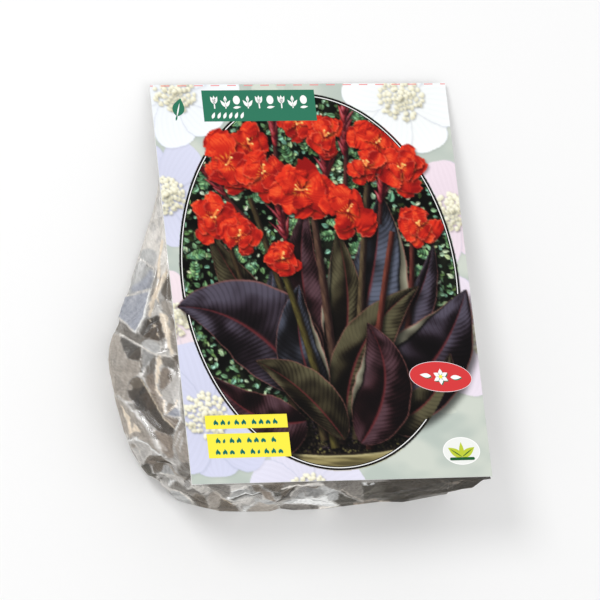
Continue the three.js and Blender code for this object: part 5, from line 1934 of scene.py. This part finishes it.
def ink_material():
    """Printed and laminated board: the ink's colour with a faint grain under a soft gloss."""
    n = Nodes("laminated_print")
    ink = n.add("ShaderNodeAttribute", attribute_name="ink")
    grain = n.noise(1400.0, 3.0)
    tone = n.between(grain, 0.97, 1.03)
    colour = n.add("ShaderNodeVectorMath", {0: (ink, "Color"), 1: (tone, "Result")},
                   operation="MULTIPLY")
    bump = n.bumps(n.noise(90.0, 2.0), 0.06, 0.0003)
    rough = (n.between(grain, 0.34, 0.46), "Result")
    return n.finish(n.body(colour, "Vector", rough, bump, specular=0.10))


def finish_print(piece, material):
    piece.data.materials.append(material)
    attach(piece, "root")


def make_printed_sheet(name, canvas, in_oval, material):
    """One sheet of the print, the picture in the oval or the ground round it."""
    across = np.linspace(PRINT_INSET, CARD_WIDTH - PRINT_INSET, PRINT_COLUMNS + 1)
    down = np.linspace(PRINT_INSET, CARD_HEIGHT - PRINT_INSET, PRINT_ROWS + 1)
    across, down = np.meshgrid(across, down)
    number = np.arange(across.size).reshape(across.shape)
    cells = np.stack([number[:-1, :-1], number[1:, :-1], number[1:, 1:], number[:-1, 1:]], axis=-1)
    middle_share = oval_share((across[:-1, :-1] + across[1:, 1:]) / 2,
                              (down[:-1, :-1] + down[1:, 1:]) / 2)
    cells = cells[(middle_share < 1) == in_oval]
    used, corners = np.unique(cells.ravel(), return_inverse=True)
    across, down = across.ravel()[used], down.ravel()[used]
    piece = new_mesh(name, place(across, down, -PRINT_LIFT), corners.reshape(-1, 4), smooth=False)
    soft = box_blur(canvas.colour, 1)
    rows, columns = canvas.over.shape
    y = np.clip((down * DOTS).astype(int), 0, rows - 1)
    x = np.clip((across * DOTS).astype(int), 0, columns - 1)
    set_colours(piece, "ink", linear(np.clip(soft[y, x], 0, 255)))
    finish_print(piece, material)


def make_shapes(name, shapes, material):
    """Flat printed shapes: (outline, ink, layer), a higher layer lying over a lower one."""
    points, faces, inks = [], [], []
    for outline, ink, layer in shapes:
        start = len(points)
        lift = -PRINT_LIFT - LAYER_LIFT * layer
        points += [place(across, down, lift) for across, down in outline]
        faces.append(tuple(range(start, len(points))))
        inks += [linear(ink)] * len(outline)
    piece = new_mesh(name, points, faces, smooth=False)
    set_colours(piece, "ink", np.array(inks))
    finish_print(piece, material)


def box_outline(left, top, right, bottom):
    return [(left, top), (left, bottom), (right, bottom), (right, top)]


def turned(u, v, middle, turn):
    """An outline's points, turned by some radians and moved to a place on the card."""
    across = middle[0] + u * math.cos(turn) - v * math.sin(turn)
    down = middle[1] + u * math.sin(turn) + v * math.cos(turn)
    return list(zip(across, down))


def round_outline(middle, reach, turn=0.0, steps=64):
    """An ellipse, turned by some radians."""
    angles = np.linspace(0, FULL_TURN, steps, endpoint=False)
    return turned(reach[0] * np.cos(angles), reach[1] * np.sin(angles), middle, turn)


def leaf_outline(foot, length, width, turn, steps=14):
    """A small pointed leaf from its foot, turned from pointing up."""
    t = np.linspace(0, 1, steps)
    side = width / 2 * np.sin(math.pi * t ** 0.8)
    u = np.concatenate([side, -side[-2:0:-1]])
    v = np.concatenate([-t * length, -t[-2:0:-1] * length])
    return turned(u, v, foot, turn)


def bar_outline(left, middle, right, thick, steps=8):
    """A bar with round ends along a line across the card."""
    angles = np.linspace(math.pi / 2, 3 * math.pi / 2, steps)
    reach = thick / 2
    first = [(left + reach + reach * math.cos(a), middle - reach * math.sin(a)) for a in angles]
    last = [(right - reach - reach * math.cos(a), middle + reach * math.sin(a)) for a in angles]
    return first + last


FRAME_STEPS = 720
# The lines of the oval's frame: from and to, in millimetres inwards, and ink.
FRAME_BANDS = ((0.0, 1.0, INK_BLACK), (1.0, 1.42, INK_WHITE), (1.42, 1.85, INK_BLACK))


def frame_lines(canvas):
    """The thin double line round the picture, left out where the picture stands over it."""
    angles = np.linspace(0, FULL_TURN, FRAME_STEPS + 1)
    shapes = []
    for near, far, ink in FRAME_BANDS:
        for first, second in zip(angles[:-1], angles[1:]):
            corners = [frame_point(first, near), frame_point(second, near),
                       frame_point(second, far), frame_point(first, far)]
            across, down = np.mean(corners, axis=0)
            if not canvas.over[int(down * DOTS), int(across * DOTS)]:
                shapes.append((corners, ink, 1))
    return shapes


def frame_point(angle, inwards):
    reach = OVAL_REACH - inwards
    return (OVAL_MIDDLE[0] + reach[0] * math.cos(angle),
            OVAL_MIDDLE[1] + reach[1] * math.sin(angle))


# Motifs of the title's row, in shares of their height: half the stalk's width, the stalk's
# height, and for each leaf how far up it starts, its length, its width and its turn.
CUP = (0.05, 0.5, [(0.36, 0.66, 0.27, -0.42), (0.36, 0.66, 0.27, 0.0), (0.36, 0.66, 0.27, 0.42)])
SPRIG = (0.045, 0.75, [(0.52, 0.48, 0.24, 0.0), (0.12, 0.66, 0.24, -0.62),
                       (0.12, 0.66, 0.24, 0.62)])
BERRY = None
TITLE_PLATE = (25.5, 3.05, 82.4, 18.95)     # left, top, right and bottom
TITLE_ROW = (CUP, SPRIG, BERRY, SPRIG, CUP, BERRY, CUP, SPRIG, BERRY)
TITLE_FOOT = (31.4, 12.4)
TITLE_STEP = 5.65
TITLE_HEIGHT = 6.5
TITLE_LEAVES = 6        # in the row under it
TITLE_LEAF_FOOT = (29.6, 17.5)
TITLE_LEAF_STEP = 2.9
TITLE_LEAF = (3.6, 1.5, 0.45)   # a leaf's length, width and turn


def stalk_shapes(foot, height, motif):
    """A cup of petals or a sprig: a stalk with leaves on it."""
    across, down = foot
    half, tall, leaves = motif
    box = box_outline(across - height * half, down - height * tall, across + height * half, down)
    shapes = [(box, INK_WHITE, 3)]
    for up, length, width, turn in leaves:
        leaf = leaf_outline((across, down - height * up), height * length, height * width, turn)
        shapes.append((leaf, INK_WHITE, 3))
    return shapes


def berry_shapes(foot, height):
    """A round berry on a leaf."""
    across, down = foot
    berry = round_outline((across, down - height * 0.66), (height * 0.27, height * 0.34), steps=24)
    leaf_foot = (across - height * 0.3, down - height * 0.05)
    leaf = leaf_outline(leaf_foot, height * 0.62, height * 0.2, 1.45)
    return [(berry, INK_WHITE, 3), (leaf, INK_WHITE, 3)]


def title_shapes():
    """A green plate with a row of sprigs, cups and berries, and a row of leaves under it."""
    shapes = [(box_outline(*TITLE_PLATE), INK_GREEN, 2)]
    for k, motif in enumerate(TITLE_ROW):
        foot = (TITLE_FOOT[0] + TITLE_STEP * k, TITLE_FOOT[1])
        if motif is BERRY:
            shapes += berry_shapes(foot, TITLE_HEIGHT)
        else:
            shapes += stalk_shapes(foot, TITLE_HEIGHT, motif)
    for k in range(TITLE_LEAVES):
        foot = (TITLE_LEAF_FOOT[0] + TITLE_LEAF_STEP * k, TITLE_LEAF_FOOT[1])
        shapes.append((leaf_outline(foot, *TITLE_LEAF), INK_WHITE, 3))
    return shapes


# The leaf beside the title, its midrib and its stalk: foot, length, width, turn, ink, layer.
CORNER_LEAVES = [((12.0, 16.2), 9.6, 6.0, 0.28, INK_GREEN, 2),
                 ((12.0, 16.2), 7.2, 0.7, 0.28, INK_WHITE, 3),
                 ((11.3, 18.4), 3.2, 0.9, 0.30, INK_GREEN, 2)]
NOTE_PLATES = ((9.7, 166.4, 50.4, 173.1), (9.7, 175.5, 50.5, 187.5))
# Rows of small leaves: their feet's line, their left end, and the leaves in each group.
NOTE_ROWS = ((171.3, 14.0, (5, 4, 8)), (180.3, 14.2, (3, 4, 6, 2)), (185.9, 13.6, (6, 2, 3, 6)))
NOTE_LEAF = 1.3         # width
NOTE_HEIGHTS = (3.1, 2.4, 2.4)  # one after the other
NOTE_TURNS = (0.30, -0.35)
NOTE_STEP = 1.75
NOTE_GAP = 1.6          # between two groups


def corner_leaf_shapes():
    """A green leaf on its stalk, with a pale midrib."""
    return [(leaf_outline(*leaf), ink, layer) for *leaf, ink, layer in CORNER_LEAVES]


def note_shapes():
    """Two yellow plates with small leaves in rows, in groups of a few."""
    shapes = [(box_outline(*plate), INK_YELLOW, 2) for plate in NOTE_PLATES]
    for foot, left, groups in NOTE_ROWS:
        for group in groups:
            for k in range(group):
                leaf = leaf_outline((left, foot), NOTE_HEIGHTS[k % 3], NOTE_LEAF, NOTE_TURNS[k % 2])
                shapes.append((leaf, INK_TEAL, 3))
                left += NOTE_STEP
            left += NOTE_GAP
    return shapes


BADGE_MIDDLE = (129.8, 149.7)
BADGE_TURN = 0.09
BADGE_OVALS = (((15.75, 7.65), INK_PALE_RIM, 2), ((15.5, 7.4), INK_RED, 3))
BADGE_SHADOW = 0.45     # how far the flower's green shadow falls
BADGE_PETALS = 6
BADGE_PETAL = (4.0, 2.2)        # length and width
BADGE_LEAF = (5.6, 2.2)
BADGE_LEAF_FOOT = (4.9, 0.4)    # from the middle, to each side and down
BADGE_LEAF_TURN = 1.50
BADGE_DOT = 0.9
EMBLEM_MIDDLE = (135.9, 187.0)
EMBLEM_FOOT = (135.9, 190.0)
EMBLEM_OVALS = (((9.4, 6.9), INK_WHITE, 2), ((8.9, 6.4), (238, 240, 236), 3))
# The sprout's leaves and midribs: length, width, turn, ink, layer.
EMBLEM_LEAVES = [(8.2, 3.8, -0.95, INK_LIME, 4), (7.2, 0.5, -0.95, INK_DARK_GREEN, 5),
                 (8.2, 3.8, 0.95, INK_LIME, 4), (7.2, 0.5, 0.95, INK_DARK_GREEN, 5),
                 (7.4, 2.4, 0.0, INK_LIME, 5)]
EMBLEM_BAR = (129.6, 190.9, 142.2, 1.5)     # left, middle, right and thickness
DASHES = range(-1, 18)
DASH_ENDS = (5.5, 9.9)
DASH_STEP = 8.35
DASH_LINES = (0.35, 0.85)       # its top and bottom
DASH_INSET = 0.1        # from the card's sides


def badge_shapes():
    """A red oval with a thin pale rim, a small open flower and a leaf on each side of it."""
    shapes = [(round_outline(BADGE_MIDDLE, reach, BADGE_TURN), ink, layer)
              for reach, ink, layer in BADGE_OVALS]
    for shift, ink, layer in ((BADGE_SHADOW, INK_GREEN, 4), (0.0, INK_WHITE, 5)):
        centre = (BADGE_MIDDLE[0] + shift, BADGE_MIDDLE[1] + shift)
        for k in range(BADGE_PETALS):
            shapes.append((leaf_outline(centre, *BADGE_PETAL, k * math.pi / 3), ink, layer))
        for side in (-1, 1):
            foot = (centre[0] + side * BADGE_LEAF_FOOT[0], centre[1] + side * BADGE_LEAF_FOOT[1])
            leaf = leaf_outline(foot, *BADGE_LEAF, side * BADGE_LEAF_TURN + BADGE_TURN)
            shapes.append((leaf, ink, layer))
    shapes.append((round_outline(BADGE_MIDDLE, (BADGE_DOT, BADGE_DOT), steps=20), INK_YELLOW, 6))
    return shapes


def emblem_shapes():
    """A two-leaf sprout over a short ground line, on a white patch."""
    shapes = [(round_outline(EMBLEM_MIDDLE, reach), ink, layer)
              for reach, ink, layer in EMBLEM_OVALS]
    shapes += [(leaf_outline(EMBLEM_FOOT, *leaf), ink, layer)
               for *leaf, ink, layer in EMBLEM_LEAVES]
    return shapes + [(bar_outline(*EMBLEM_BAR), INK_DARK_GREEN, 6)]


def cut_line_shapes():
    """A thin red dashed line along the card's top edge."""
    shapes = []
    for k in DASHES:
        left, right = (end + DASH_STEP * k for end in DASH_ENDS)
        left, right = max(left, DASH_INSET), min(right, CARD_WIDTH - DASH_INSET)
        if right > left:
            box = box_outline(left, DASH_LINES[0], right, DASH_LINES[1])
            shapes.append((box, INK_DASH, 1))
    return shapes


def make_print():
    """The card's front: two painted sheets, and crisp flat shapes on them."""
    canvas = Canvas()
    paint_border(canvas)
    paint_picture(canvas)
    material = ink_material()
    make_printed_sheet("printed_picture", canvas, True, material)
    make_printed_sheet("printed_border", canvas, False, material)
    parts = {"oval_frame": frame_lines(canvas), "title_plate": title_shapes(),
             "corner_leaf": corner_leaf_shapes(), "note_plates": note_shapes(),
             "badge": badge_shapes(), "emblem": emblem_shapes(), "cut_line": cut_line_shapes()}
    for name, shapes in parts.items():
        make_shapes("printed_" + name, shapes, material)


# ---------------------------------------------------------------- floor, lights

FLOOR_SIZE = 3.0
FLOOR_TONE = (246, 246, 246)
FLOOR_DROP = 0.0002     # metres under the packet, so that the two don't touch
SKY = 0.76
# The lamps, which shine at the packet: place in metres, size and watts.
LAMPS = {"key": ((-0.9, 0.7, 1.3), 0.6, 9.5), "fill": ((0.9, -0.6, 1.2), 1.2, 3)}


def make_floor():
    half = FLOOR_SIZE / 2
    floor = new_mesh("floor", [(-half, -half, 0), (half, -half, 0), (half, half, 0),
                               (-half, half, 0)], [(0, 1, 2, 3)], smooth=False)
    n = Nodes("plain_floor")
    body = n.add("ShaderNodeBsdfPrincipled", {
        "Base Color": (*linear(FLOOR_TONE), 1.0), "Roughness": 0.9})
    floor.data.materials.append(n.finish(body))
    floor.location.z = -FLOOR_DROP


def soft_light(name, spot, size, watts):
    data = bpy.data.lights.new(name, "AREA")
    data.shape = "DISK"
    data.size = size
    data.energy = watts
    lamp = bpy.data.objects.new(name, data)
    bpy.context.collection.objects.link(lamp)
    lamp.location = spot
    lamp.rotation_euler = (-Vector(spot)).to_track_quat("-Z", "Y").to_euler()


def make_lights():
    """An even white sky and two soft lamps."""
    world = bpy.data.worlds.new("studio")
    world.use_nodes = True
    background = world.node_tree.nodes["Background"]
    background.inputs["Color"].default_value = (1.0, 1.0, 1.0, 1.0)
    background.inputs["Strength"].default_value = SKY
    bpy.context.scene.world = world
    bpy.context.scene.view_settings.view_transform = "Standard"
    for name, lamp in LAMPS.items():
        soft_light(name, *lamp)


make_camera()
make_floor()
make_lights()
make_film()
skin = rhizome_material()
for number in (1, 2, 3):
    make_rhizome(number, skin)
make_peat(peat_material())
dress_card()
make_print()
